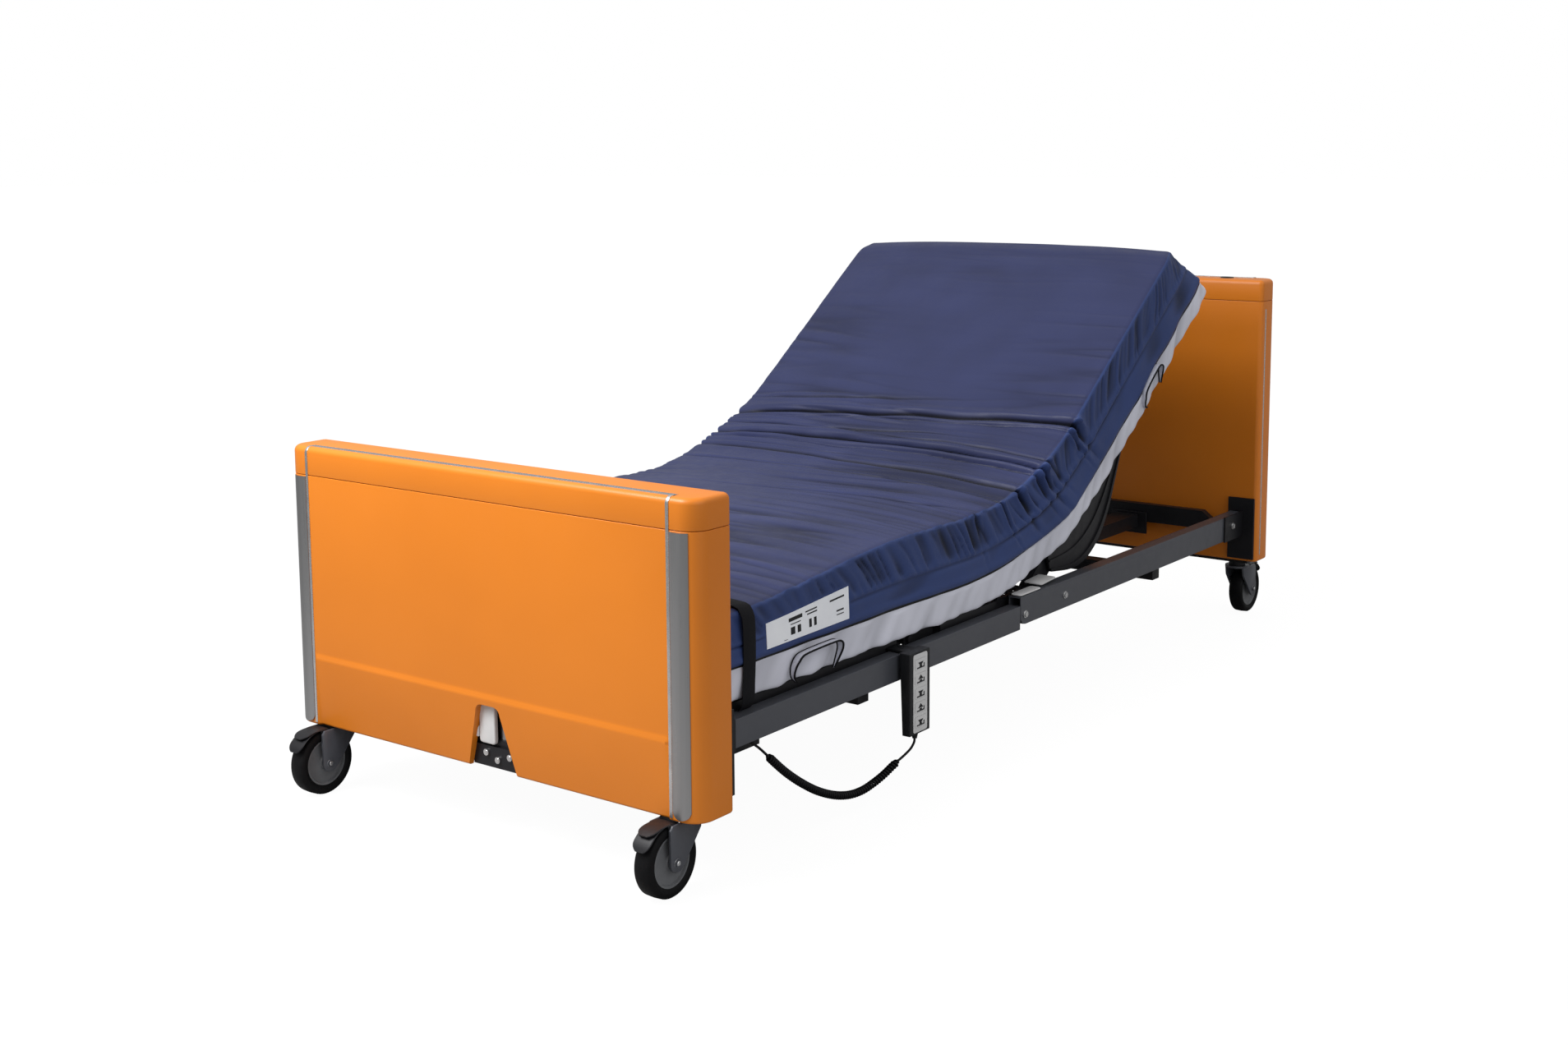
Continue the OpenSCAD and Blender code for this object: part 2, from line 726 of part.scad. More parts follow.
module handset_body() {
    y0 = handset_y - handset_w / 2;
    y1 = handset_y + handset_w / 2;
    z1 = handset_z + handset_h;
    hook_x = rail_x - rail_w - 5;
    hook_z = foot_rail_z + foot_rail_h;
    color(black) difference() {
        union() {
            box([handset_x, y0, handset_z], [face_x, y1, z1]);
            box([hook_x, handset_y - 18, hook_z], [handset_x + 8, handset_y + 18, hook_z + 6]);
            box([hook_x, handset_y - 18, hook_z - 22], [hook_x + 4.5, handset_y + 18, hook_z + 6]);
            box([rail_x, handset_y - 18, hook_z - 30], [handset_x + 1, handset_y + 18, hook_z - 10]);
            translate([handset_x + 12, handset_y, handset_z - 12]) cylinder(h = 13, r1 = 4.5, r2 = 7);
        }
        for (k = [0 : key_count - 1])
            box([face_x - 7, handset_y - key_size[0] / 2 - 1, key_z(k) - key_size[1] / 2 - 1],
                [face_x + 1, handset_y + key_size[0] / 2 + 1, key_z(k) + key_size[1] / 2 + 1]);
    }
}

module handset_key(k) {
    color(silver) box([face_x - 4.5, handset_y - key_size[0] / 2, key_z(k) - key_size[1] / 2],
                      [face_x + 1.5, handset_y + key_size[0] / 2, key_z(k) + key_size[1] / 2]);
}

module handset_key_1() { handset_key(0); }
module handset_key_2() { handset_key(1); }
module handset_key_3() { handset_key(2); }
module handset_key_4() { handset_key(3); }
module handset_key_5() { handset_key(4); }

// Control box under the calf section, with the gland that the hand control's cord comes out of
gland_y = -948;
gland_z = 204;
box_x = 408;

module control_box() {
    color(black) {
        box([230, -1010, 180], [box_x, -890, 234]);
        for (x = [250, 366]) box([x, -inner_y + 22, 226], [x + 24, -1008, 232]);
    }
}

module cord_gland() {
    color(black) rod_x(box_x, box_x + 18, gland_y, gland_z, 7);
}

// Route of the hand control's cord, from the case down, along and up into the gland
cord_r = 3;
curl_r = 8;
cord_top = [[478, -497, 100], [478, -499, 92], [476, -507, 82], [472, -520, 73], [468, -537, 65]];
curl_route = [[468, -537, 65], [465, -556, 57], [462, -580, 47], [459, -608, 39], [457, -640, 34],
    [455, -674, 35], [453, -708, 42], [451, -742, 54], [449, -776, 70], [447, -808, 89],
    [446, -838, 109], [445, -866, 130], [444, -892, 152], [443, -914, 172]];
cord_end = [[443, -914, 172], [442, -926, 183], [440, -936, 192], [436, -944, 199], [430, -948, 203],
    [426, -948, 204]];

function unit(v) = v / norm(v);

function tangent(p, i) = unit(p[min(i + 1, len(p) - 1)] - p[max(i - 1, 0)]);

// Ring of points square to the route at point i
function ring(p, i, r, sides) =
    let (t = tangent(p, i), u = unit(cross(t, [1, 0.2, 0.1])), v = cross(t, u))
    [for (k = [0 : sides - 1]) p[i] + r * (cos(360 * k / sides) * u + sin(360 * k / sides) * v)];

module swept_tube(p, r, sides) {
    n = len(p);
    points = [for (i = [0 : n - 1]) each ring(p, i, r, sides)];
    walls = [for (i = [0 : n - 2], k = [0 : sides - 1]) let (a = i * sides, b = (k + 1) % sides)
        each [[a + k, a + b, a + sides + b], [a + k, a + sides + b, a + sides + k]]];
    start = [for (k = [sides - 1 : -1 : 0]) k];
    end = [for (k = [0 : sides - 1]) (n - 1) * sides + k];
    polyhedron(points, concat(walls, [start, end]));
}

module handset_cord() {
    color(black) {
        swept_tube(cord_top, cord_r, 10);
        swept_tube(cord_end, cord_r, 10);
    }
}

module handset_cord_curl() { color(black) swept_tube(curl_route, curl_r, 12); }

foot_board_shell();
foot_board_cap();
head_board_shell();
head_board_cap();
corner_trims();
edge_beads();
rail_foot_right();
rail_foot_left();
rail_head_right();
rail_head_left();
corner_brackets();
cross_channels();
seat_deck();
deck_crossbeams();
frame_bolts();
lift_sleeves();
foot_lift_rod();
head_lift_rod();
back_actuator_body();
knee_actuator_body();
control_box();
cord_gland();
handset_body();
handset_key_1();
handset_key_2();
handset_key_3();
handset_key_4();
handset_key_5();
handset_cord();
handset_cord_curl();
mattress_seat();
back_frame();
mattress_back();
back_actuator_rod();
thigh_frame();
mattress_thigh();
calf_frame();
mattress_calf();
knee_actuator_rod();
foot_base_bar();
foot_legs();
foot_lift_tube();
foot_lift_motor();
foot_base_bolts();
head_base_bar();
head_legs();
head_lift_tube();
head_lift_motor();
fork_foot_right();
fork_foot_left();
fork_head_right();
fork_head_left();
wheel_foot_right();
wheel_foot_left();
wheel_head_right();
wheel_head_left();
pedal_foot_right();
pedal_foot_left();
pedal_head_right();
pedal_head_left();
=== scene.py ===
import json
import math

import bmesh
import bpy
import numpy as np
from mathutils import Matrix, Vector


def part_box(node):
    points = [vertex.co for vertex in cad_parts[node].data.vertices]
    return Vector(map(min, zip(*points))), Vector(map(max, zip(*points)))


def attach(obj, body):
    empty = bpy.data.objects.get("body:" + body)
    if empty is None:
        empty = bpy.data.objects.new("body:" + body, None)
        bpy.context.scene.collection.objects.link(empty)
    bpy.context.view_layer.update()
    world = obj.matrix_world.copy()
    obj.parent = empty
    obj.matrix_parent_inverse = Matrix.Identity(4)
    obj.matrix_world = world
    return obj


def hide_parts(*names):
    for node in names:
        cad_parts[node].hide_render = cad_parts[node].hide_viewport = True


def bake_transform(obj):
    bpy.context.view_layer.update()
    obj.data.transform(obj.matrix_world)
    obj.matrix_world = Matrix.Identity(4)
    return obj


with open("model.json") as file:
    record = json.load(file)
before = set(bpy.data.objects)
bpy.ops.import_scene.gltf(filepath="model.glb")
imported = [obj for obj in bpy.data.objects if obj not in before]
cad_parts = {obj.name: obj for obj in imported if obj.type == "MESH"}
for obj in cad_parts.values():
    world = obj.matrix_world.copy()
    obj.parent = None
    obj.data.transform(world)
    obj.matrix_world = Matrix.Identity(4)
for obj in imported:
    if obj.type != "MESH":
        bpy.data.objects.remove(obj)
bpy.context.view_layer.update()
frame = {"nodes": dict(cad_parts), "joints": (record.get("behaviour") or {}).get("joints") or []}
NODES = frame["nodes"]
HINGES = {j["name"]: Vector(j["pos_m"]) for j in frame["joints"] if "pos_m" in j}
MM = 0.001
SIDES = ((1, "right"), (-1, "left"))


def mm(points):
    """Points given in millimetres, as tuples in metres."""
    return [tuple(v * MM for v in point) for point in points]


def link(name, data):
    """A new object in the scene."""
    obj = bpy.data.objects.new(name, data)
    bpy.context.scene.collection.objects.link(obj)
    return obj


# ---------------------------------------------------------------- camera, lights and floor
CAMERA_AT = (2.3486, -3.4024, 1.2159)     # at the foot end's right, a little above the mattress
CAMERA_TURN = (36.83, -7.60, -0.39)       # yaw, pitch and roll in degrees
LENS = 42.96
SHIFT_Y = -0.0797
WHITE = (1.0, 1.0, 1.0, 1)


def make_camera():
    data = bpy.data.cameras.new("camera")
    data.sensor_width = 36
    data.lens = LENS
    data.shift_y = SHIFT_Y
    camera = link("camera", data)
    yaw, pitch, roll = (math.radians(a) for a in CAMERA_TURN)
    turn = Matrix.Rotation(yaw, 4, "Z") @ Matrix.Rotation(math.pi / 2 + pitch, 4, "X")
    turn = turn @ Matrix.Rotation(roll, 4, "Z")
    camera.matrix_world = Matrix.Translation(CAMERA_AT) @ turn
    bpy.context.scene.camera = camera


def lamp(name, kind, power, aim, **settings):
    """A light that shines along aim."""
    data = bpy.data.lights.new(name, kind)
    data.energy = power
    for key, value in settings.items():
        setattr(data, key, value)
    obj = link(name, data)
    obj.rotation_euler = Vector(aim).to_track_quat("-Z", "Y").to_euler()
    return obj


def connect(tree, node, inputs):
    """Sets a node's inputs, each from a value or from another node's output."""
    for key, value in inputs.items():
        if isinstance(value, bpy.types.NodeSocket):
            tree.links.new(value, node.inputs[key])
        else:
            node.inputs[key].default_value = value


def add_node(tree, kind, inputs=None, **settings):
    node = tree.nodes.new("ShaderNode" + kind)
    for key, value in settings.items():
        setattr(node, key, value)
    connect(tree, node, inputs or {})
    return node


def new_material(name):
    mat = bpy.data.materials.new(name)
    mat.use_nodes = True
    return mat, mat.node_tree, mat.node_tree.nodes["Principled BSDF"]


def map_range(tree, value, low, high, a=0.3, b=0.7):
    """value brought from the range a to b to the range low to high."""
    inputs = {"From Min": a, "From Max": b, "To Min": low, "To Max": high, "Value": value}
    return add_node(tree, "MapRange", inputs).outputs["Result"]


def camera_ray(tree):
    """1 for what the camera sees straight away, 0 for everything else."""
    return add_node(tree, "LightPath").outputs["Is Camera Ray"]


def mix_shaders(tree, output, factor, lit, seen):
    """Puts lit out where the factor is 0, and seen where it is 1."""
    both = add_node(tree, "MixShader", {"Fac": factor, 1: lit, 2: seen})
    tree.links.new(both.outputs["Shader"], tree.nodes[output].inputs["Surface"])


def make_floor():
    """A plain white floor; what the camera sees of it is almost free of shadow."""
    bpy.ops.mesh.primitive_plane_add(size=120)
    floor = bpy.context.object
    floor.name = "floor"
    mat, tree, shaded = new_material("floor_white")
    connect(tree, shaded, {"Base Color": (0.30, 0.30, 0.30, 1), "Roughness": 0.95})
    glow = add_node(tree, "Emission", {"Strength": 1.2})
    share = add_node(tree, "Math", {0: camera_ray(tree), 1: 0.80}, operation="MULTIPLY").outputs["Value"]
    mix_shaders(tree, "Material Output", share, shaded.outputs["BSDF"], glow.outputs["Emission"])
    floor.data.materials.append(mat)


def make_studio():
    """Room light that is brightest overhead, a broad key from the front left and a fill."""
    scene = bpy.context.scene
    scene.view_settings.view_transform = "Standard"
    world = bpy.data.worlds.new("studio")
    world.use_nodes = True
    tree = world.node_tree
    where = add_node(tree, "TexCoord").outputs["Generated"]
    height = add_node(tree, "SeparateXYZ", {"Vector": where}).outputs["Z"]
    room = tree.nodes["Background"]
    connect(tree, room, {"Color": WHITE, "Strength": map_range(tree, height, 0.22, 0.75, -0.15, 0.9)})
    seen = add_node(tree, "Background", {"Color": WHITE, "Strength": 1.0})
    lights = [node.outputs["Background"] for node in (room, seen)]
    mix_shaders(tree, "World Output", camera_ray(tree), *lights)
    scene.world = world
    lamp("key", "SUN", 1.10, (0.30, 0.80, -0.90), angle=math.radians(24))
    lamp("fill", "SUN", 0.44, (-0.9, 0.15, -0.45), angle=math.radians(50))
    lamp("front_panel", "AREA", 40, (0.35, 0.80, -1.50), size=0.9).location = (-0.45, -1.95, 2.05)
    make_floor()


# ---------------------------------------------------------------- materials
COVER_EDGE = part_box("mattress_calf")[1].x - 3 * MM    # where the cover's top gives way to its side
BRUSHED = {"trim_aluminium": (1, 1, 0.02)}            # stretch of a grain that runs along Z


def coords(tree, stretch=(1, 1, 1), attribute=None):
    """Surface coordinates in metres, stretched: from the mesh, or from a stored attribute."""
    if attribute:
        where = add_node(tree, "Attribute", attribute_name=attribute).outputs["Vector"]
    else:
        where = add_node(tree, "TexCoord").outputs["Object"]
    return add_node(tree, "Mapping", {"Scale": stretch, "Vector": where}).outputs["Vector"]


def noise(tree, where, scale, detail=3.0):
    return add_node(tree, "TexNoise", {"Scale": scale, "Detail": detail, "Vector": where}).outputs["Fac"]


def mix_colour(tree, factor, a, b, blend="MIX"):
    """A colour between a and b; each is a colour or another node's output."""
    a, b = [(*c, 1) if isinstance(c, tuple) else c for c in (a, b)]
    inputs = {"Factor": factor, "A": a, "B": b}
    return add_node(tree, "Mix", inputs, data_type="RGBA", blend_type=blend).outputs["Result"]


def bump(tree, shader, height, strength, distance, under=None):
    inputs = {"Strength": strength, "Distance": distance, "Height": height}
    if under is not None:
        inputs["Normal"] = under
    normal = add_node(tree, "Bump", inputs).outputs["Normal"]
    connect(tree, shader, {"Normal": normal})
    return normal


def surface(name, dark, light, rough, metallic, patch, grain, depth, specular=0.5):
    """A finish with slow colour drift over patches, uneven gloss and a fine grain in relief."""
    mat, tree, shader = new_material(name)
    where = coords(tree, BRUSHED.get(name, (1, 1, 1)))
    colour = mix_colour(tree, map_range(tree, noise(tree, where, patch), 0, 1), dark, light)
    gloss = map_range(tree, noise(tree, where, patch * 7, 4), *rough)
    bump(tree, shader, noise(tree, where, grain, 2), 0.35, depth * MM)
    connect(tree, shader, {"Base Color": colour, "Roughness": gloss, "Metallic": metallic,
                           "Specular IOR Level": specular})
    return mat


def cloth_material(name, top, side, rough, sheen, deep):
    """Coated stretch fabric: a fine knit in relief, painted shade inside the folds, its colour top or side
    tinted apart as painted light.
    """
    mat, tree, shader = new_material(name)
    where = coords(tree, attribute="flat")
    across = add_node(tree, "SeparateXYZ", {"Vector": where}).outputs["X"]
    across = add_node(tree, "Math", {0: across}, operation="ABSOLUTE").outputs["Value"]
    # painted light: one fabric gets a darker top colour and a lighter side colour, matched to how each face
    # is lit
    base = mix_colour(tree, map_range(tree, across, 0, 1, COVER_EDGE, COVER_EDGE + 3 * MM), top, side)
    drift = map_range(tree, noise(tree, where, 5.0, 4), 0.86, 1.10)
    # painted shade: the fold attribute darkens the colour towards deep, standing in for the shade inside each
    # fold
    fold = add_node(tree, "Attribute", attribute_name="fold").outputs["Fac"]
    shade = map_range(tree, fold, 1.0, deep, 0.0, 1.0)
    tone_and_fold_shade = add_node(tree, "Math", {0: drift, 1: shade}, operation="MULTIPLY").outputs["Value"]
    gloss = map_range(tree, noise(tree, where, 40, 3), rough - 0.05, rough + 0.06)
    first = bump(tree, shader, noise(tree, where, 120, 3), 0.3, 0.25 * MM)
    knit = add_node(tree, "TexVoronoi", {"Scale": 1500, "Vector": where}).outputs["Distance"]
    bump(tree, shader, knit, 0.25, 0.06 * MM, first)
    connect(tree, shader, {"Base Color": mix_colour(tree, 1.0, base, tone_and_fold_shade, "MULTIPLY"), "Roughness": gloss,
                           "Sheen Weight": sheen, "Sheen Roughness": 0.5, "Specular IOR Level": 0.22})
    return mat


def webbing_material():
    """Woven strap: ribs across its width."""
    mat, tree, shader = new_material("webbing_black")
    inputs = {"Scale": 260, "Distortion": 1.5, "Vector": coords(tree)}
    weave = add_node(tree, "TexWave", inputs, bands_direction="Z").outputs["Fac"]
    bump(tree, shader, weave, 0.5, 0.3 * MM)
    colour = mix_colour(tree, weave, (0.002, 0.002, 0.003), (0.005, 0.005, 0.008))
    connect(tree, shader, {"Base Color": colour, "Roughness": 0.7, "Specular IOR Level": 0.2})
    return mat


# dark and light tone, roughness, metallic, patches and grain per metre, grain depth in mm, specular
SURFACES = {
    "board_orange": ((0.64, 0.180, 0.010), (0.71, 0.205, 0.013), (0.36, 0.44), 0.0, 2.2, 260, 0.06, 0.35),
    "trim_aluminium": ((0.34, 0.34, 0.345), (0.46, 0.46, 0.465), (0.26, 0.36), 1.0, 30, 700, 0.03),
    "bright_steel": ((0.62, 0.62, 0.63), (0.78, 0.78, 0.78), (0.18, 0.30), 1.0, 40, 900, 0.02),
    "frame_grey": ((0.060, 0.064, 0.077), (0.068, 0.072, 0.086), (0.32, 0.40), 0.1, 6, 1400, 0.015, 0.6),
    "frame_black": ((0.009, 0.009, 0.011), (0.016, 0.016, 0.019), (0.36, 0.48), 0.1, 8, 1200, 0.05, 0.30),
    "case_black": ((0.008, 0.0085, 0.010), (0.014, 0.015, 0.017), (0.36, 0.48), 0.0, 12, 1600, 0.05, 0.28),
    "key_grey": ((0.62, 0.62, 0.62), (0.68, 0.68, 0.68), (0.45, 0.55), 0.0, 30, 1800, 0.03),
    "cord_black": ((0.003, 0.003, 0.004), (0.006, 0.006, 0.007), (0.42, 0.55), 0.0, 30, 1500, 0.04, 0.20),
    "tyre_black": ((0.003, 0.003, 0.0035), (0.006, 0.006, 0.007), (0.50, 0.62), 0.0, 25, 900, 0.05, 0.12),
    "hub_grey": ((0.110, 0.114, 0.122), (0.145, 0.150, 0.160), (0.40, 0.52), 0.0, 20, 1400, 0.05),
    "label_white": ((0.84, 0.86, 0.91), (0.90, 0.92, 0.96), (0.40, 0.50), 0.0, 20, 1500, 0.03),
}
MAT = {name: surface(name, *look) for name, look in SURFACES.items()}
lacquer = MAT["board_orange"].node_tree
connect(lacquer, lacquer.nodes["Principled BSDF"], {"Coat Weight": 0.10, "Coat Roughness": 0.22})
# colour of the top and of the sides, tinted apart as painted light, roughness, sheen, and the painted shade
# left in a fold
CLOTHS = {
    "cover_navy": ((0.027, 0.034, 0.098), (0.030, 0.053, 0.165), 0.46, 0.02, 0.10),
    "cover_grey": ((0.60, 0.61, 0.70), (0.66, 0.67, 0.76), 0.60, 0.1, 0.72),
}
MAT.update({name: cloth_material(name, *look) for name, look in CLOTHS.items()})
MAT["webbing_black"] = webbing_material()

# which finish each CAD node takes where its own shape stays
FINISH = {
    "trim_aluminium": ("foot_lift_tube", "head_lift_tube", "foot_lift_rod", "head_lift_rod",
                       "back_actuator_rod", "knee_actuator_rod"),
    "bright_steel": ("frame_bolts", "foot_base_bolts"),
    "frame_black": ("cross_channels", "back_frame", "thigh_frame", "calf_frame", "foot_base_bar",
                    "head_base_bar", "corner_brackets"),
    "case_black": ("back_actuator_body", "knee_actuator_body", "control_box", "cord_gland", "foot_lift_motor",
                   "head_lift_motor"),
    "key_grey": ["handset_key_%d" % k for k in range(1, 6)],
}


# ---------------------------------------------------------------- mesh helpers
def edit(mesh, *steps):
    """Runs bmesh steps on a mesh in place, and turns its faces outward."""
    bm = bmesh.new()
    bm.from_mesh(mesh)
    for step in steps:
        step(bm)
    bmesh.ops.recalc_face_normals(bm, faces=bm.faces)
    bm.to_mesh(mesh)
    bm.free()


def shade_by_angle(obj, degrees=32):
    """Sharp edges where faces turn by more than this, smooth elsewhere."""
    mesh = obj.data
    mesh.polygons.foreach_set("use_smooth", [True] * len(mesh.polygons))
    mesh.set_sharp_from_angle(angle=math.radians(degrees))


def dress(obj, slot):
    """Gives an object one finish."""
    obj.data.materials.clear()
    obj.data.materials.append(MAT[slot])
    return obj


def make_object(name, skin, slot):
    """An object from a skin, which is a pair of vertices and faces."""
    mesh = bpy.data.meshes.new(name)
    mesh.from_pydata([tuple(v) for v in skin[0]], [], skin[1])
    mesh.validate()
    mesh.polygons.foreach_set("use_smooth", [True] * len(mesh.polygons))
    return dress(link(name, mesh), slot)


def join_parts(name, parts, slot, angle=30):
    """One object from several skins."""
    verts, faces = [], []
    for v, f in parts:
        base = len(verts)
        verts += [tuple(p) for p in v]
        faces += [tuple(i + base for i in face) for face in f]
    obj = make_object(name, (verts, faces), slot)
    edit(obj.data)
    shade_by_angle(obj, angle)
    return obj


def cut_out(obj, skin):
    """Cuts the closed shape of a skin out of obj."""
    mesh = bpy.data.meshes.new("cutter")
    mesh.from_pydata([tuple(v) for v in skin[0]], [], skin[1])
    edit(mesh)
    cutter = link("cutter", mesh)
    cut = obj.modifiers.new("cut", "BOOLEAN")
    cut.operation = "DIFFERENCE"
    cut.solver = "EXACT"
    cut.object = cutter
    deps = bpy.context.evaluated_depsgraph_get()
    old = obj.data
    result = bpy.data.meshes.new_from_object(obj.evaluated_get(deps))
    obj.modifiers.clear()
    obj.data = result
    bpy.data.meshes.remove(old)
    bpy.data.objects.remove(cutter)


def loft(rings, closed_ends=True):
    """Joins rings of equal length into a skin; the ends are closed with one face each."""
    count = len(rings[0])
    verts = [v for ring in rings for v in ring]
    faces = []
    for i in range(len(rings) - 1):
        for j in range(count):
            k = (j + 1) % count
            faces.append((i * count + j, i * count + k, (i + 1) * count + k, (i + 1) * count + j))
    if closed_ends:
        faces.append(tuple(reversed(range(count))))
        faces.append(tuple(range((len(rings) - 1) * count, len(rings) * count)))
    return verts, faces


def slab(front, back, long, wide):
    """A skin between two grids of long by wide cells, each listed row by row, with a rim round them."""
    count, row = len(front), wide + 1
    faces = []
    for i in range(long):
        for j in range(wide):
            a, b, c, d = i * row + j, (i + 1) * row + j, (i + 1) * row + j + 1, i * row + j + 1
            faces += [(a, b, c, d), (d + count, c + count, b + count, a + count)]
    rim = [i * row for i in range(long + 1)] + [long * row + j for j in range(1, row)]
    rim += [i * row + wide for i in range(long - 1, -1, -1)] + list(range(wide - 1, 0, -1))
    faces += [(a, a + count, b + count, b) for a, b in zip(rim, rim[1:] + rim[:1])]
    return [*front, *back], faces


def rounded_rect(half_a, half_b, radius, steps=5):
    points = []
    for sa, sb, start in ((1, 1, 0), (-1, 1, 90), (-1, -1, 180), (1, -1, 270)):
        for i in range(steps + 1):
            a = math.radians(start + 90 * i / steps)
            points.append((sa * (half_a - radius) + radius * math.cos(a),
                           sb * (half_b - radius) + radius * math.sin(a)))
    return points


def curve_through(points, count):
    """Evenly parted points on a smooth curve through the given ones."""
    pts = [Vector(p) for p in points]
    pts = [pts[0] * 2 - pts[1]] + pts + [pts[-1] * 2 - pts[-2]]
    fine = []
    for i in range(1, len(pts) - 2):
        a, b, c, d = pts[i - 1:i + 3]
        for k in range(24):
            t = k / 24
            fine.append(0.5 * ((2 * b) + (c - a) * t + (2 * a - 5 * b + 4 * c - d) * t ** 2
                               + (3 * b - a - 3 * c + d) * t ** 3))
    fine.append(pts[-2])
    far = [0.0]
    for a, b in zip(fine, fine[1:]):
        far.append(far[-1] + (b - a).length)
    out, k = [], 0
    for i in range(count + 1):
        want = far[-1] * i / count
        while k < len(far) - 2 and far[k + 1] < want:
            k += 1
        out.append(fine[k].lerp(fine[k + 1], (want - far[k]) / max(far[k + 1] - far[k], 1e-12)))
    return out


def heading(path, i, reach=1):
    """The direction of a path at its point i."""
    return (path[min(i + reach, len(path) - 1)] - path[max(i - reach, 0)]).normalized()


def path_length(path):
    return sum((b - a).length for a, b in zip(path, path[1:]))


def lathe(profile, centre, axis, count=48):
    """Turns a closed (radius, along) profile about an axis through centre."""
    spin = Vector(axis).normalized()
    side = spin.orthogonal().normalized()
    other = spin.cross(side)
    rings = []
    for i in range(count):
        t = 2 * math.pi * i / count
        out = side * math.cos(t) + other * math.sin(t)
        rings.append([Vector(centre) + out * r + spin * h for r, h in profile])
    return loft(rings + rings[:1], closed_ends=False)


def lathe_object(name, profile, centre, axis, slot, count=48, angle=35):
    obj = make_object(name, lathe(profile, centre, axis, count), slot)
    edit(obj.data, lambda bm: bmesh.ops.remove_doubles(bm, verts=bm.verts, dist=1e-6))
    shade_by_angle(obj, angle)
    return obj


def softened(name, node, slot, body, width, longer=0.03, segments=3):
    """A CAD node with its long sharp edges rounded, as formed tube and moulded plastic have them."""
    def ease(bm):
        bmesh.ops.remove_doubles(bm, verts=bm.verts, dist=1e-5)
        bmesh.ops.dissolve_limit(bm, angle_limit=math.radians(0.6), verts=bm.verts, edges=bm.edges)
        sharp = [e for e in bm.edges if len(e.link_faces) == 2 and e.calc_face_angle(0) > math.radians(40)
                 and e.calc_length() > longer]
        bmesh.ops.bevel(bm, geom=sharp, offset=width, offset_type="OFFSET", segments=segments, profile=0.6,
                        affect="EDGES", clamp_overlap=True)

    mesh = NODES[node].data.copy()
    mesh.name = name
    edit(mesh, ease)
    obj = dress(link(name, mesh), slot)
    shade_by_angle(obj)
    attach(obj, body)
    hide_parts(node)
    return obj


# ---------------------------------------------------------------- end boards
FOOT_SHELL, FOOT_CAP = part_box("foot_board_shell"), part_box("foot_board_cap")
HEAD_SHELL, HEAD_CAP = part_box("head_board_shell"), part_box("head_board_cap")
CORNER_OUT = 38 * MM       # outer upright corners
CORNER_IN = 12 * MM        # inner upright corners
WALL = 8 * MM
TOP_ROUND = 11 * MM        # rounding along the cap's top edge
SEAM = 1.2 * MM            # rounding where cap and shell meet
SEAM_GAP = 1.0 * MM        # the dark line between them
BEAD_X = 442 * MM
CREASE_Z = (262 * MM, 271 * MM)
CREASE_LEVELS = [CREASE_Z[0] + v * MM for v in (-4, 0, 1.5, 7.5, 9, 13)]
CREASE_STEP = 3.2 * MM     # the ledge along the crease
PANEL_LEAN = 9 * MM        # how far the panel below it draws in towards its lower edge
NOTCH_LOW = (-34 * MM, 86 * MM)      # width of the foot board's notch at its lower edge
NOTCH_HIGH = (-7 * MM, 53 * MM)      # its width where the round top starts
NOTCH_SHOULDER = 235 * MM
NOTCH_TOP_R = 15 * MM
SOCKET_X = 383 * MM
SOCKET_Y = (HEAD_CAP[0].y + HEAD_CAP[1].y) / 2
SOCKET_R = 9.5 * MM
# the collar's section in mm: past the bore's radius, and above the cap
COLLAR = ((-1.2, -38), (-1.2, 1), (0.5, 2.2), (6, 2.2), (8, 0.6), (8, -0.4), (-0.1, -0.4), (-0.1, -38))


def plan_ring(box, at_foot, z, inset, step=0.0):
    """A board's outline at one height, drawn in by inset, with the middle of its outer face proud by step."""
    inner, outer = (box[1].y, box[0].y) if at_foot else (box[0].y, box[1].y)
    depth = abs(outer - inner) - 2 * inset
    points = []
    for radius, far, start in ((CORNER_IN, False, 270), (CORNER_OUT, True, 0)):
        r = max(radius - inset, 0.5 * MM)
        for i in range(11):
            a = math.radians(start + 9 * i)
            y = (depth - r if far else r) + r * math.sin(a)
            points.append((box[1].x - inset - r + r * math.cos(a), y))
    left = [(-x, y) for x, y in reversed(points)]
    edge, panel = BEAD_X - 4 * MM, BEAD_X - 9 * MM
    points += [(edge, depth), (panel, depth + step), (-panel, depth + step), (-edge, depth)] + left
    sign = -1 if at_foot else 1
    return [(x, inner + sign * (inset + y), z) for x, y in points]


def rounded_levels(z0, z1, r0, r1, extra=()):
    """Heights and insets that round the lower edge by r0 and the upper edge by r1."""
    turns = [math.pi / 10 * i for i in range(6)]
    low = [(z0 + r0 * (1 - math.cos(t)), r0 * (1 - math.sin(t))) for t in turns]
    high = [(z1 - r1 * (1 - math.sin(t)), r1 * (1 - math.cos(t))) for t in turns]
    return low + [(z, 0) for z in extra] + high


def board_shell(box, at_foot):
    """Rings of a hollow shell, first down its inside and then up its face over the crease."""
    rings = [plan_ring(box, at_foot, box[1].z - WALL, WALL)]
    rings.append(plan_ring(box, at_foot, box[0].z, WALL + PANEL_LEAN))
    for z, inset in rounded_levels(box[0].z, box[1].z, 5 * MM, SEAM, CREASE_LEVELS):
        share = (CREASE_Z[0] - z) / (CREASE_Z[0] - box[0].z)
        step = CREASE_STEP - PANEL_LEAN * share if share >= 0 else 0
        if CREASE_Z[0] < z < CREASE_Z[1]:
            step = CREASE_STEP * (CREASE_Z[1] - z) / (CREASE_Z[1] - CREASE_Z[0])
        rings.append(plan_ring(box, at_foot, z, inset, step))
    return loft(rings)


def board_cap(shell, box, at_foot):
    levels = rounded_levels(shell[1].z + SEAM_GAP, box[1].z, SEAM, TOP_ROUND)
    return loft([plan_ring(box, at_foot, z, inset) for z, inset in levels])


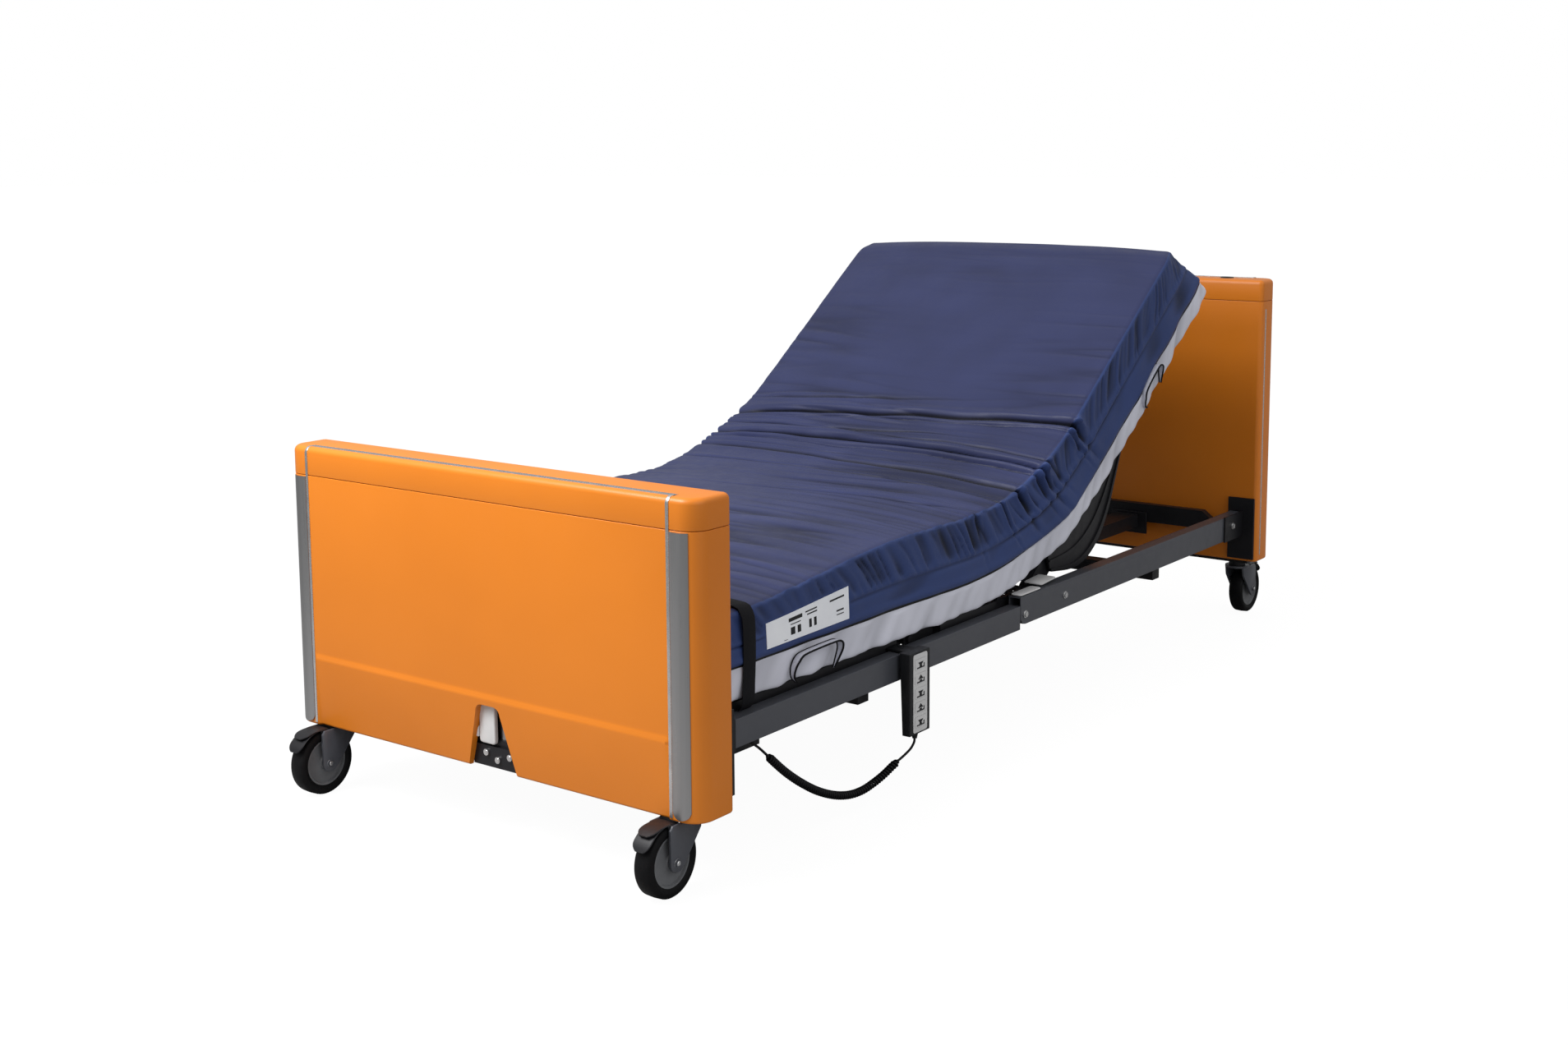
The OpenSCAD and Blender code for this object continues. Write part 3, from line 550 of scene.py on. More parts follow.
def notch_cutter():
    """Straight sides that lean in, then a low top with round corners."""
    below, outer = 20 * MM, FOOT_SHELL[0].y
    points = []
    for low, high in zip(NOTCH_LOW, NOTCH_HIGH):
        lean = (high - low) / (NOTCH_SHOULDER - FOOT_SHELL[0].z)
        points.append((low - below * lean, FOOT_SHELL[0].z - below))
    for x, start in ((NOTCH_HIGH[1] - NOTCH_TOP_R, 0), (NOTCH_HIGH[0] + NOTCH_TOP_R, 90)):
        for i in range(7):
            a = math.radians(start + 15 * i)
            points.append((x + NOTCH_TOP_R * math.cos(a), NOTCH_SHOULDER + NOTCH_TOP_R * math.sin(a)))
    reach = (outer - 15 * MM, outer + WALL + PANEL_LEAN + 4 * MM)
    return loft([[(x, y, z) for x, z in points] for y in reach])


def socket_cutter(x):
    turns = [2 * math.pi * i / 40 for i in range(40)]
    ring = [(x + SOCKET_R * math.cos(t), SOCKET_Y + SOCKET_R * math.sin(t)) for t in turns]
    return loft([[(a, b, HEAD_CAP[1].z + z) for a, b in ring] for z in (-40 * MM, 5 * MM)])


def make_sockets():
    """A black collar round each pole socket in the head board's cap."""
    profile = [(SOCKET_R + r, h) for r, h in mm(COLLAR)]
    for side, name in SIDES:
        place = (side * SOCKET_X, SOCKET_Y, HEAD_CAP[1].z)
        collar = lathe_object("pole_collar_" + name, profile, place, (0, 0, 1), "case_black")
        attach(collar, "chassis")


def make_boards():
    sockets = [socket_cutter(x) for x in (SOCKET_X, -SOCKET_X)]
    boards = (("foot_board_moulding", "foot_board_shell", board_shell(FOOT_SHELL, True), [notch_cutter()]),
              ("foot_board_top", "foot_board_cap", board_cap(FOOT_SHELL, FOOT_CAP, True), []),
              ("head_board_moulding", "head_board_shell", board_shell(HEAD_SHELL, False), []),
              ("head_board_top", "head_board_cap", board_cap(HEAD_SHELL, HEAD_CAP, False), sockets))
    for name, node, skin, cutters in boards:
        piece = make_object(name, skin, "board_orange")
        for cutter in cutters:
            cut_out(piece, cutter)
        edit(piece.data)
        shade_by_angle(piece, 28)
        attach(piece, "chassis")
        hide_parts(node)
    make_sockets()


# ---------------------------------------------------------------- bright trim on the boards
TRIM_X = (446 * MM, 481 * MM)
TRIM_PROUD = 1.2 * MM
TRIM_BULGE = 3.2 * MM
BEAD_W = 6.4 * MM
BEAD_PROUD = 1.4 * MM
INLAY_FROM_FACE = 19 * MM
INLAY_W = 14 * MM
STRIP_Y = 1098 * MM        # middle of the slim strip on the head board's end face


def face_y(x, half, outer, sign):
    """Where a board's outer face lies at x, round its upright corner too."""
    over = max(x - (half - CORNER_OUT), 0)
    return outer - sign * (CORNER_OUT - math.sqrt(CORNER_OUT ** 2 - over ** 2))


def trim_strip(side, half, outer, sign, z0, z1):
    """An aluminium strip with a slightly round face that follows the board's corner to a round nose."""
    across, up = 14, 10
    front, back = [], []
    reach = (TRIM_X[1] - TRIM_X[0]) / 2
    for i in range(across + 1):
        t = 2 * i / across - 1
        x = TRIM_X[0] + reach * (1 + t)
        y = face_y(x, half, outer, sign)
        nose = reach * 0.75 * (1 - math.sqrt(1 - t * t))
        for j in range(up + 1):
            z = z0 + nose + (z1 - z0 - nose) * j / up
            front.append((side * x, y + sign * (TRIM_PROUD + TRIM_BULGE * (1 - t * t)), z))
            back.append((side * x, y - sign * 0.5 * MM, z))
    return slab(front, back, across, up)


def bead(side, shell, cap, outer, sign):
    """The bead up one side of a board's outer face, over the cap's edge and back to the inlay."""
    x, z = side * BEAD_X, cap[1].z - TOP_ROUND
    line = [(Vector((x, outer, shell[0].z + 6 * MM)), Vector((0, sign, 0)))]
    for i in range(7):
        a = math.radians(15 * i)
        out = Vector((0, sign * math.cos(a), math.sin(a)))
        line.append((Vector((x, outer - sign * TOP_ROUND, z)) + out * TOP_ROUND, out))
    line.append((Vector((x, outer - sign * INLAY_FROM_FACE, cap[1].z)), Vector((0, 0, 1))))
    section = ((-1, -1 * MM), (-1, 0.7 * BEAD_PROUD), (-0.6, BEAD_PROUD), (0.6, BEAD_PROUD),
               (1, 0.7 * BEAD_PROUD), (1, -1 * MM))
    half = Vector((BEAD_W / 2, 0, 0))
    return loft([[p + half * a + out * h for a, h in section] for p, out in line])


def inlay(cap, outer, sign):
    """The pale strip let into the top of a cap, from bead to bead."""
    reach = BEAD_X + BEAD_W / 2
    section = ((-1, -1), (-1, 0.5), (-0.7, 0.9), (0.7, 0.9), (1, 0.5), (1, -1))
    middle = outer - sign * INLAY_FROM_FACE
    ring = [(middle + a * INLAY_W / 2, cap[1].z + h * MM) for a, h in section]
    return loft([[(x, y, z) for y, z in ring] for x in (-reach, reach)])


def side_strip(side, box):
    """The slim upright strip on the head board's end face, with a round lower end."""
    z0, z1 = box[0].z + 16 * MM, box[1].z - 20 * MM
    section = ((-1, -1), (0.9, -0.7), (0.9, 0.7), (-1, 1))
    widths = ((z0, 0.6 * MM), (z0 + 1.2 * MM, 1.9 * MM), (z0 + 3 * MM, 2.6 * MM), (z1, 2.6 * MM))
    rings = []
    for z, w in widths:
        rings.append([(side * (box[1].x + out * MM), STRIP_Y + w * a, z) for out, a in section])
    return loft(rings)


def make_trim():
    trims, beads = [], []
    for shell, cap, outer, sign in ((FOOT_SHELL, FOOT_CAP, FOOT_SHELL[0].y, -1),
                                    (HEAD_SHELL, HEAD_CAP, HEAD_SHELL[1].y, 1)):
        for side in (1, -1):
            trims.append(trim_strip(side, shell[1].x, outer, sign, shell[0].z + 6 * MM, shell[1].z - 2 * MM))
            beads.append(bead(side, shell, cap, outer, sign))
        beads.append(inlay(cap, outer, sign))
    beads += [side_strip(side, HEAD_SHELL) for side in (1, -1)]
    for name, parts, slot, node in (("corner_trim_strips", trims, "trim_aluminium", "corner_trims"),
                                    ("bright_beads", beads, "bright_steel", "edge_beads")):
        piece = join_parts(name, parts, slot, 40)
        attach(piece, "chassis")
        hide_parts(node)


# ---------------------------------------------------------------- frame, brackets and lifting gear
def finish_cad_nodes():
    """Procedural finishes for the CAD nodes whose own shape stays."""
    for slot, names in FINISH.items():
        for name in names:
            mesh = NODES[name].data
            mesh.materials.clear()
            mesh.materials.append(MAT[slot])
            shade_by_angle(NODES[name])


def make_frame():
    for half in ("foot", "head"):
        for _, side in SIDES:
            node = "rail_%s_%s" % (half, side)
            softened("side_" + node, node, "frame_grey", "chassis", 3.2 * MM, 0.04)
    for name, node, slot, body, width, longer in (
            ("seat_section", "seat_deck", "frame_black", "chassis", 2.0, 0.03),
            ("crossbeam_frame", "deck_crossbeams", "frame_black", "chassis", 2.5, 0.04),
            ("column_sleeves", "lift_sleeves", "frame_grey", "chassis", 2.5, 0.05),
            ("foot_columns", "foot_legs", "trim_aluminium", "foot_base", 2.0, 0.05),
            ("head_columns", "head_legs", "trim_aluminium", "head_base", 2.0, 0.05)):
        softened(name, node, slot, body, width * MM, longer)


# ---------------------------------------------------------------- castors
# Outlines in mm seen from the side: y runs from the axle towards the stem, z is the height above the floor.
CHEEK = ((-12, 52), (-15, 60), (-15, 120), (-9, 126.5), (62, 126.5), (66, 122), (63, 108), (18, 54), (8, 46),
         (-4, 46))
CHEEK_MID = (25, 88)
BLADES = (((4, 127), (-12, 127.5), (-28, 127), (-42, 124.5), (-55, 119)),
          ((-24, 126.5), (-38, 122), (-50, 114), (-59, 105), (-65, 95)))
BLADE_T = 2.4 * MM
BLADE_SECTION = ((-1, 0), (-0.93, 1), (-0.4, 1.25), (0.4, 1.25), (0.93, 1), (1, 0), (0.93, -1), (-0.93, -1))
EAR = ((5, 100), (7, 108), (5, 127), (-16, 128), (-14, 122), (-6, 104), (-3, 99.5))
AXLE_HEAD = ((0.01, 4.6), (3.2, 4.6), (4.2, 4.0), (6.4, 1.4), (7.2, 0.9), (7.2, -0.5), (0.01, -0.5))


def side_ring(outline, centre, out, x):
    """An outline seen from the side, placed at x; out points from the castor's stem to its axle."""
    return [(x, centre.y - out * y * MM, z * MM) for y, z in outline]


def fork_cheeks(centre, out, half):
    """The fork's broad side plates, over its plain legs."""
    parts = []
    for side in (1, -1):
        rings = []
        for x, inset in ((2.6, 0), (6.4, 0), (7.4, 1)):       # mm from the wheel's side, and a small chamfer
            drawn = [[v - math.copysign(inset, v - mid) for v, mid in zip(at, CHEEK_MID)] for at in CHEEK]
            rings.append(side_ring(drawn, centre, out, centre.x + side * (half + x * MM)))
        parts.append(loft(rings))
    return parts


def pedal_parts(centre, out, half):
    """The brake pedal: two curved blades over the tyre and an ear down to the pivot on each side."""
    parts = []
    for blade in BLADES:
        path = curve_through([(0, -y, z) for y, z in blade], 16)
        rings = []
        for i, p in enumerate(path):
            up = Vector((1, 0, 0)).cross(heading(path, i)) * BLADE_T / 2
            tip = max(0.0, (i - 11) / 5)       # the last third narrows to a round tip
            reach = (half + 1.0 * MM) * math.sqrt(1 - 0.8 * tip ** 2)
            ring = []
            for x, lift in BLADE_SECTION:
                q = p * MM + up * lift
                ring.append((centre.x + x * reach, centre.y + out * q.y, q.z))
            rings.append(ring)
        parts.append(loft(rings))
    for side in (1, -1):
        faces = [centre.x + side * (half + x * MM) for x in (0.7, 2.3)]
        parts.append(loft([side_ring(EAR, centre, out, x) for x in faces]))
    return parts


def make_wheel(place, centre, radius, half):
    """A round-shouldered tyre and a dished hub."""
    rim = radius * 0.70
    tyre = [(rim, -half * 0.74), (rim + 4 * MM, -half * 0.92), (radius - 11 * MM, -half)]
    for i in range(9):
        a = math.radians(-90 + 22.5 * i)
        flat = (half - 8 * MM) * ((i > 4) - (i < 4))
        tyre.append((radius - 9 * MM + 9 * MM * math.cos(a), flat + 8 * MM * math.sin(a)))
    tyre += [(r, -h) for r, h in reversed(tyre[:3])]
    hub = [(4.3 * MM, 0.86), (13 * MM, 0.86), (15 * MM, 0.70), (rim * 0.62, 0.52), (rim * 0.90, 0.56),
           (rim * 0.94, 0.80), (rim + 0.6 * MM, 0.80)]
    hub = [(r, -half * h) for r, h in hub] + [(r, half * h) for r, h in reversed(hub)]
    for name, profile, slot, angle in (("tyre_", tyre, "tyre_black", 40), ("hub_", hub, "hub_grey", 25)):
        piece = lathe_object(name + place, profile, centre, (1, 0, 0), slot, 64, angle)
        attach(piece, "wheel_%s_body" % place)
        if name == "tyre_":
            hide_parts("wheel_" + place)


def make_castor(place):
    """Tyre, hub, fork with its cheeks, brake pedal and axle heads of one castor."""
    low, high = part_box("wheel_" + place)
    centre = (low + high) / 2
    half = (high.x - low.x) / 2
    out = -1 if centre.y < 0 else 1
    make_wheel(place, centre, (high.z - low.z) / 2, half)
    body = "fork_%s_body" % place
    fork = softened("castor_fork_" + place, "fork_" + place, "frame_grey", body, 0.9 * MM, 0.012, 2)
    cheeks = join_parts("fork_cheeks_" + place, fork_cheeks(centre, out, half), "frame_grey", 40)
    cheeks.parent = fork
    pedal = join_parts("brake_pedal_" + place, pedal_parts(centre, out, half), "frame_black", 40)
    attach(pedal, "pedal_%s_body" % place)
    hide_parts("pedal_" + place)
    bolts = []
    for side in (1, -1):
        bolts.append(lathe(mm(AXLE_HEAD), centre + Vector((side * 25 * MM, 0, 0)), (side, 0, 0), 32))
    heads = join_parts("axle_bolts_" + place, bolts, "bright_steel", 30)
    heads.parent = fork


# ---------------------------------------------------------------- mattress
# The cover is drawn flat: x across, s along the bed, h above the underside. Every wrinkle is a
# displacement of that flat shape, which is then bent up over the back section's hinge.
MAT_FOOT, MAT_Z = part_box("mattress_calf")[0].yz
MAT_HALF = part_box("mattress_calf")[1].x
MAT_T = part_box("mattress_seat")[1].z - MAT_Z
BACK_HINGE, THIGH_HINGE, KNEE_HINGE = HINGES["back_hinge"], HINGES["thigh_hinge"], HINGES["knee_hinge"]
BACK_ANGLE = math.radians(36)
BEND_REACH = 0.33                 # how far the mattress starts to rise before its two flats would meet
TOP_R = 11 * MM                   # roundness of the cover's upper edges
LOW_R = 9 * MM                    # and of its lower edges
ZIP_H = 55 * MM                   # rows of the flat drawing: zip and seam
ZIP_W = 5 * MM
SEAM_H = 108 * MM
HEAD_SLANT = 76 * MM
BEND_ZONE = (-0.16, 0.46)         # stretch with the finer rows
ROW = 4.4 * MM
BEND_ROW = 2.7 * MM
CUT_SEAT = 0.0                    # the cover's three pieces meet here, where neither neighbour turns
CUT_THIGH = -0.25
LABEL_S = (-0.915, -0.668)        # the care label's place on the flat drawing
LABEL_H = (0.073, 0.142)


def plane_meet():
    """Where the flat underside would meet the underside of the raised back."""
    lift = MAT_Z - BACK_HINGE.z
    rise = BACK_HINGE.z + lift / math.cos(BACK_ANGLE) - MAT_Z
    return np.array([BACK_HINGE.y - rise / math.tan(BACK_ANGLE), MAT_Z])


MEET = plane_meet()
MAT_HEAD = MEET[0] + (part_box("mattress_back")[1].y - MEET[0]) / math.cos(BACK_ANGLE)


def bend_up(s, h):
    """Place on the bed of flat points: a quadratic arc joins the flat and the raised stretch."""
    t = np.clip((s - MEET[0] + BEND_REACH) / (2 * BEND_REACH), 0, 1)[:, None]
    p0 = MEET - [BEND_REACH, 0]
    p2 = MEET + BEND_REACH * np.array([math.cos(BACK_ANGLE), math.sin(BACK_ANGLE)])
    base = (1 - t) ** 2 * p0 + 2 * t * (1 - t) * MEET + t ** 2 * p2
    along = (1 - t) * (MEET - p0) + t * (p2 - MEET)
    along /= np.linalg.norm(along, axis=1)[:, None]
    past = s - np.clip(s, MEET[0] - BEND_REACH, MEET[0] + BEND_REACH)
    up = np.stack([-along[:, 1], along[:, 0]], 1)
    return base + along * past[:, None] + up * h[:, None]


def smooth(a, b, v):
    t = np.clip((v - a) / (b - a), 0, 1)
    return t * t * (3 - 2 * t)


def bell(v, centre, width):
    return np.exp(-((v - centre) / width) ** 2)


def tucks(v, width):
    """Narrow valleys where a smooth field passes through zero, 0 to 1."""
    return np.exp(-(np.abs(v) / width) ** 1.4)


def field(x, y, seed):
    """Smooth random field, about -1 to 1, with one lump to each unit of x and y."""
    xi, yi = np.floor(x), np.floor(y)
    xf, yf = x - xi, y - yi
    fx, fy = (v ** 3 * (v * (v * 6 - 15) + 10) for v in (xf, yf))
    total = 0
    for dx in (0, 1):
        for dy in (0, 1):
            turn = np.sin((xi + dx) * 127.1 + (yi + dy) * 311.7 + seed * 74.7) * 43758.5453
            turn = (turn - np.floor(turn)) * 2 * math.pi
            weight = (fx if dx else 1 - fx) * (fy if dy else 1 - fy)
            total = total + weight * (np.cos(turn) * (xf - dx) + np.sin(turn) * (yf - dy))
    return total * 1.6


# the deep folds over the bend: place at the right and left edges, slope down the side, depth, half width
FOLDS = ((0.352, 0.268, 0.34, 22, 10), (0.322, 0.246, 0.34, 9, 5), (0.135, 0.160, 0.62, 25, 10),
         (0.106, 0.126, 0.50, 11, 6), (0.012, 0.062, 0.55, 15, 8), (-0.078, -0.030, 0.50, 9, 5),
         (0.245, 0.205, 0.50, 7, 5), (-0.200, -0.330, 0.30, 5, 6), (0.430, 0.345, 0.20, 5, 6),
         (0.190, 0.225, 0.60, 5, 5), (0.052, 0.095, 0.60, 6, 5))


def fold_depth(x, s, h, top):
    """Folds that cross the top from edge to edge and run down both sides."""
    total = np.zeros(len(s))
    reach = x / (2 * MAT_HALF) + 0.5
    fall = np.clip(MAT_T - h, 0, 1) * (1 - top)
    fade = np.exp(-(fall / 0.075) ** 2) * (1 - 0.7 * smooth(0.33, 0.42, -x))
    for i, (right, left, slope, depth, half) in enumerate(FOLDS):
        wave = 0.014 * field(x * 3.1, s * 0 + i * 7.3, 5) + 0.005 * field(x * 9, s * 0 + i * 3.1, 6)
        centre = left + (right - left) * reach + wave + slope * fall
        off = (s - centre) / (half * MM * (0.85 + 0.3 * field(x * 4 + i * 3, s * 0, 9)))
        strength = 0.70 + 0.50 * field(x * 2.3 + i * 5, h * 12, 8)
        if depth < 8:       # the shallow folds reach over one half of the bed only
            strength = strength * smooth(-0.30, 0.30, x * (1 if i % 2 else -1) + 0.1)
        groove = -np.exp(-np.abs(off) ** 1.3)
        roll = 0.42 * bell(off, 2.6, 1.7) + 0.30 * bell(off, -2.8, 2.0)
        total += strength * fade * depth * MM * (groove + roll)
    return total


def top_wrinkles(x, s):
    """Long shallow wrinkles across the lying part, and short ones drawn from the edges of the back."""
    drift = s + 0.030 * field(x * 1.7, s * 2.3, 11) + 0.05 * x * field(x * 0.5, s * 1.1, 12)
    lying = smooth(-1.0, -0.85, s) * (1 - 0.80 * smooth(0.25, 0.50, s))
    patch = 0.25 + 0.95 * smooth(-0.35, 0.45, field(x * 1.9, s * 2.6, 13))
    waves = 3.0 * field(x * 1.3, drift * 17, 14) - 3.2 * tucks(field(x * 2.2, drift * 22, 15), 0.20)
    fine = 0.8 * field(x * 4.5, drift * 52, 16)
    edge = smooth(0.10, 0.40, np.abs(x)) * smooth(0.30, 0.42, s) * (1 - smooth(0.62, 0.80, s))
    pull = -3.0 * tucks(field(x * 1.6, (s - 0.10 * np.abs(x)) * 26, 17), 0.22)
    slow = 4.5 * field(x * 1.4, s * 1.6, 18)
    return (lying * (patch * (waves + fine) + slow) + edge * pull) * MM


def under_label(s, h):
    """1 where the stiff care label keeps the cover flat."""
    along = smooth(LABEL_S[0] - 0.012, LABEL_S[0], s) * (1 - smooth(LABEL_S[1], LABEL_S[1] + 0.012, s))
    return along * smooth(LABEL_H[0] - 0.006, LABEL_H[0], h) * (1 - smooth(LABEL_H[1], LABEL_H[1] + 0.008, h))


def side_wrinkles(side, s, rise, bend):
    """Gathers above the seam, soft swell below it; rise is the way round the edge from the underside."""
    lean = 0.75 - 1.75 * smooth(0.05, 0.45, s)
    at = s + lean * (rise - SEAM_H) + 0.012 * field(s * 7, rise * 9, 20 + side)
    window = smooth(SEAM_H, SEAM_H + 14 * MM, rise) * (1 - smooth(MAT_T - 20 * MM, MAT_T + 3 * MM, rise))
    amount = 0.40 + 0.80 * smooth(-0.35, 0.35, field(s * 5.5, rise * 0, 22 + side))
    amount = amount * (1 - 0.45 * smooth(0.80, 0.95, s)) * (1 + 0.5 * bell(s, -0.08, 0.16))
    gather = 3.4 * field(at * 46, rise * 4, 24 + side)
    gather = gather - 4.4 * tucks(field(at * 33, rise * 3, 25 + side), 0.20)
    swell = 4.5 * field(s * 7.5 - rise * 6, rise * 7, 28 + side) * (1 - smooth(SEAM_H - 8 * MM, SEAM_H, rise))
    band = 4.6 * field(s * 21 - rise * 20, rise * 6, 30 + side) * (1 - smooth(ZIP_H - 8 * MM, ZIP_H, rise))
    seam = (2.2 + 3 * bend) * bell(rise, SEAM_H + 9 * MM, 8 * MM)
    seam = seam - (3.0 + 5.0 * bend) * bell(rise, SEAM_H - 1 * MM, 3.2 * MM)
    skirt = 3.0 * bell(rise, ZIP_H + 11 * MM, 9 * MM) - 2.4 * bell(rise, ZIP_H, 3.5 * MM)
    return (window * amount * gather + swell + band + seam + skirt) * MM


def drawn_box(points):
    """The flat box with rounded edges: places and outward directions."""
    radius = (LOW_R + (TOP_R - LOW_R) * smooth(0.3 * MAT_T, 0.7 * MAT_T, points[:, 2]))[:, None]
    low = np.array([-MAT_HALF, MAT_FOOT, 0]) + radius
    high = np.array([MAT_HALF, MAT_HEAD, MAT_T]) - radius
    inner = np.clip(points, low, high)
    away = points - inner
    normal = away / np.maximum(np.linalg.norm(away, axis=1)[:, None], 1e-9)
    return inner + normal * radius, normal


def thickness(s):
    """The foam is thinner towards the foot end."""
    return MAT_T - 0.034 + 0.042 * smooth(-1.05, -0.45, s)


def shaped(points, proud=0.0):
    """Places on the bed of points drawn on the flat box, and how deep in a fold each lies."""
    place, normal = drawn_box(points)
    x, s, h = place.T
    top = smooth(0.35, 0.85, normal[:, 2])
    flank = smooth(0.35, 0.85, np.abs(normal[:, 0]))
    above = smooth(-0.3, 0.3, normal[:, 2])
    rise = np.where(normal[:, 2] > 0.2, MAT_T + (MAT_HALF - np.abs(x)) * (normal[:, 2] > 0.9), h)
    side = np.where(x > 0, 0.0, 50.0)
    bend = smooth(-0.12, 0.08, s) * (1 - smooth(0.45, 0.62, s))
    raised = smooth(-0.05, 0.25, s)
    creases = np.maximum(top, flank * above + flank * (h > ZIP_H)) * fold_depth(x, s, h, top)
    folds = flank * side_wrinkles(side, s, rise, bend) + creases
    folds = folds * (1 - flank * (x > 0) * under_label(s, h))
    across = top * top_wrinkles(x, s)
    belly = 4 * bell(h, MAT_T * 0.55, MAT_T * 0.4) + 6 * bell(s, 0.12, 0.16) * (h > ZIP_H)
    belly = belly + (2 + 7 * raised) * (1 - smooth(ZIP_H, SEAM_H + 20 * MM, h))
    place = place + normal * (folds + across + flank * belly * MM + proud)[:, None]
    x, s, h = place.T
    crown = 14 * MM * (1 - np.clip(np.abs(x) / MAT_HALF, 0, 1) ** 3) * top
    h = h - (MAT_T - thickness(s)) * smooth(ZIP_H * 0.6, MAT_T, h) + crown
    h = h + (8 * MM - 16 * MM * raised) * bell(h, ZIP_H, 0.6 * ZIP_H) * smooth(0, 0.3 * ZIP_H, h)
    head = bell(s, MAT_HEAD, 0.028) * smooth(0.2 * MAT_T, MAT_T, h)
    x = x * (1 - 0.010 * (bell(s, MAT_FOOT, 0.05) + bell(s, MAT_HEAD, 0.05)) - 0.020 * head)
    h = h - 9 * MM * head
    s = s - HEAD_SLANT * np.clip(h / MAT_T, 0, 1) * smooth(0.80, MAT_HEAD, s)
    # how deep each point lies in a fold or top wrinkle; the cloth material paints shade from it
    depth = np.clip(-folds / (5.5 * MM), 0, 1) + np.clip(-across / (8 * MM), 0, 0.6)
    return np.column_stack([x, bend_up(s, h)]), np.clip(depth, 0, 1)


def spaced(low, high, step, round_low=True, round_high=True, fixed=()):
    """Grid lines from low to high, closer over the rounded edges, with the fixed ones kept."""
    inset = [e * MM for e in (0, 1.2, 2.6, 4.4, 6.6, 9.0, 12.5, 17)]
    lines = [low + e for e in inset] if round_low else [low]
    upper = [high - e for e in reversed(inset)] if round_high else [high]
    stops = [lines[-1], *fixed, upper[0]]
    for a, b in zip(stops, stops[1:]):
        count = max(1, round((b - a) / step))
        lines += [a + (b - a) * i / count for i in range(1, count + 1)]
    return lines[:-1] + upper


def cover_grid():
    """The box's surface as one closed grid of quads, as drawn points and faces."""
    xs = spaced(-MAT_HALF, MAT_HALF, 10 * MM)
    start, end = BEND_ZONE
    ys = spaced(MAT_FOOT, start, ROW, True, False)[:-1] + spaced(start, end, BEND_ROW, False, False)
    ys += spaced(end, MAT_HEAD, ROW, False, True)[1:]
    zs = spaced(0, MAT_T, 4.6 * MM, fixed=(ZIP_H - ZIP_W / 2, ZIP_H + ZIP_W / 2, SEAM_H))
    axes = (xs, ys, zs)
    ids, points, quads = {}, [], []

    def vertex(key):
        if key not in ids:
            ids[key] = len(points)
            points.append([axes[a][key[a]] for a in range(3)])
        return ids[key]

    for fixed, (u, v) in ((0, (1, 2)), (1, (2, 0)), (2, (0, 1))):
        for end in (0, len(axes[fixed]) - 1):
            for i in range(len(axes[u]) - 1):
                for j in range(len(axes[v]) - 1):
                    loop = []
                    for di, dj in ((0, 0), (1, 0), (1, 1), (0, 1)):
                        key = [0, 0, 0]
                        key[fixed], key[u], key[v] = end, i + di, j + dj
                        loop.append(vertex(tuple(key)))
                    quads.append(tuple(loop if end else reversed(loop)))
    return np.array(points), quads


def close_cut(obj):
    """Closes the open ends that the cuts leave inside the mattress."""
    bm = bmesh.new()
    bm.from_mesh(obj.data)
    bmesh.ops.holes_fill(bm, edges=[e for e in bm.edges if e.is_boundary], sides=0)
    bm.to_mesh(obj.data)
    bm.free()


def make_mattress():
    """The whole cover, cut into three pieces that share their shading."""
    drawn, quads = cover_grid()
    placed, folds = shaped(drawn)
    middles = drawn[np.array(quads)].mean(axis=1)
    whole = bpy.data.meshes.new("whole_cover")
    whole.from_pydata([tuple(p) for p in placed], [], quads)
    whole.polygons.foreach_set("use_smooth", [True] * len(quads))
    normals = np.array([v.vector[:] for v in whole.vertex_normals])
    finish = 2 - (middles[:, 2] > ZIP_H - ZIP_W / 2).astype(np.int32) - (middles[:, 2] > ZIP_H + ZIP_W / 2)
    past = 9.0        # beyond either end
    spans = (("upper", CUT_SEAT, past, "chassis", "back", BACK_HINGE, 0.11,
              ("mattress_seat", "mattress_back")),
             ("middle", CUT_THIGH, CUT_SEAT, "thigh", "chassis", THIGH_HINGE, 0.075, ("mattress_thigh",)),
             ("lower", -past, CUT_THIGH, "calf", "thigh", KNEE_HINGE, 0.09, ("mattress_calf",)))
    for name, low, high, first, second, hinge, reach, nodes in spans:
        chosen = [i for i, m in enumerate(middles[:, 1]) if low < m < high]
        used = sorted({v for i in chosen for v in quads[i]})
        index = {v: k for k, v in enumerate(used)}
        faces = [tuple(index[v] for v in quads[i]) for i in chosen]
        obj = make_object("mattress_" + name, (placed[used], faces), "cover_navy")
        mesh = obj.data
        mesh.materials.append(MAT["cord_black"])
        mesh.materials.append(MAT["cover_grey"])
        mesh.polygons.foreach_set("material_index", finish[chosen].astype(np.int32))
        mesh.attributes.new("flat", "FLOAT_VECTOR", "POINT").data.foreach_set("vector", drawn[used].ravel())
        # the fold depth, from which the cloth material paints shade into the folds
        mesh.attributes.new("fold", "FLOAT", "POINT").data.foreach_set("value", folds[used])
        close_cut(obj)
        extra = [(0.0, 0.0, 1.0)] * (len(mesh.vertices) - len(used))
        mesh.normals_split_custom_set_from_vertices([tuple(n) for n in normals[used]] + extra)
        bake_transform(obj)
        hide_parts(*nodes)
    bpy.data.meshes.remove(whole)


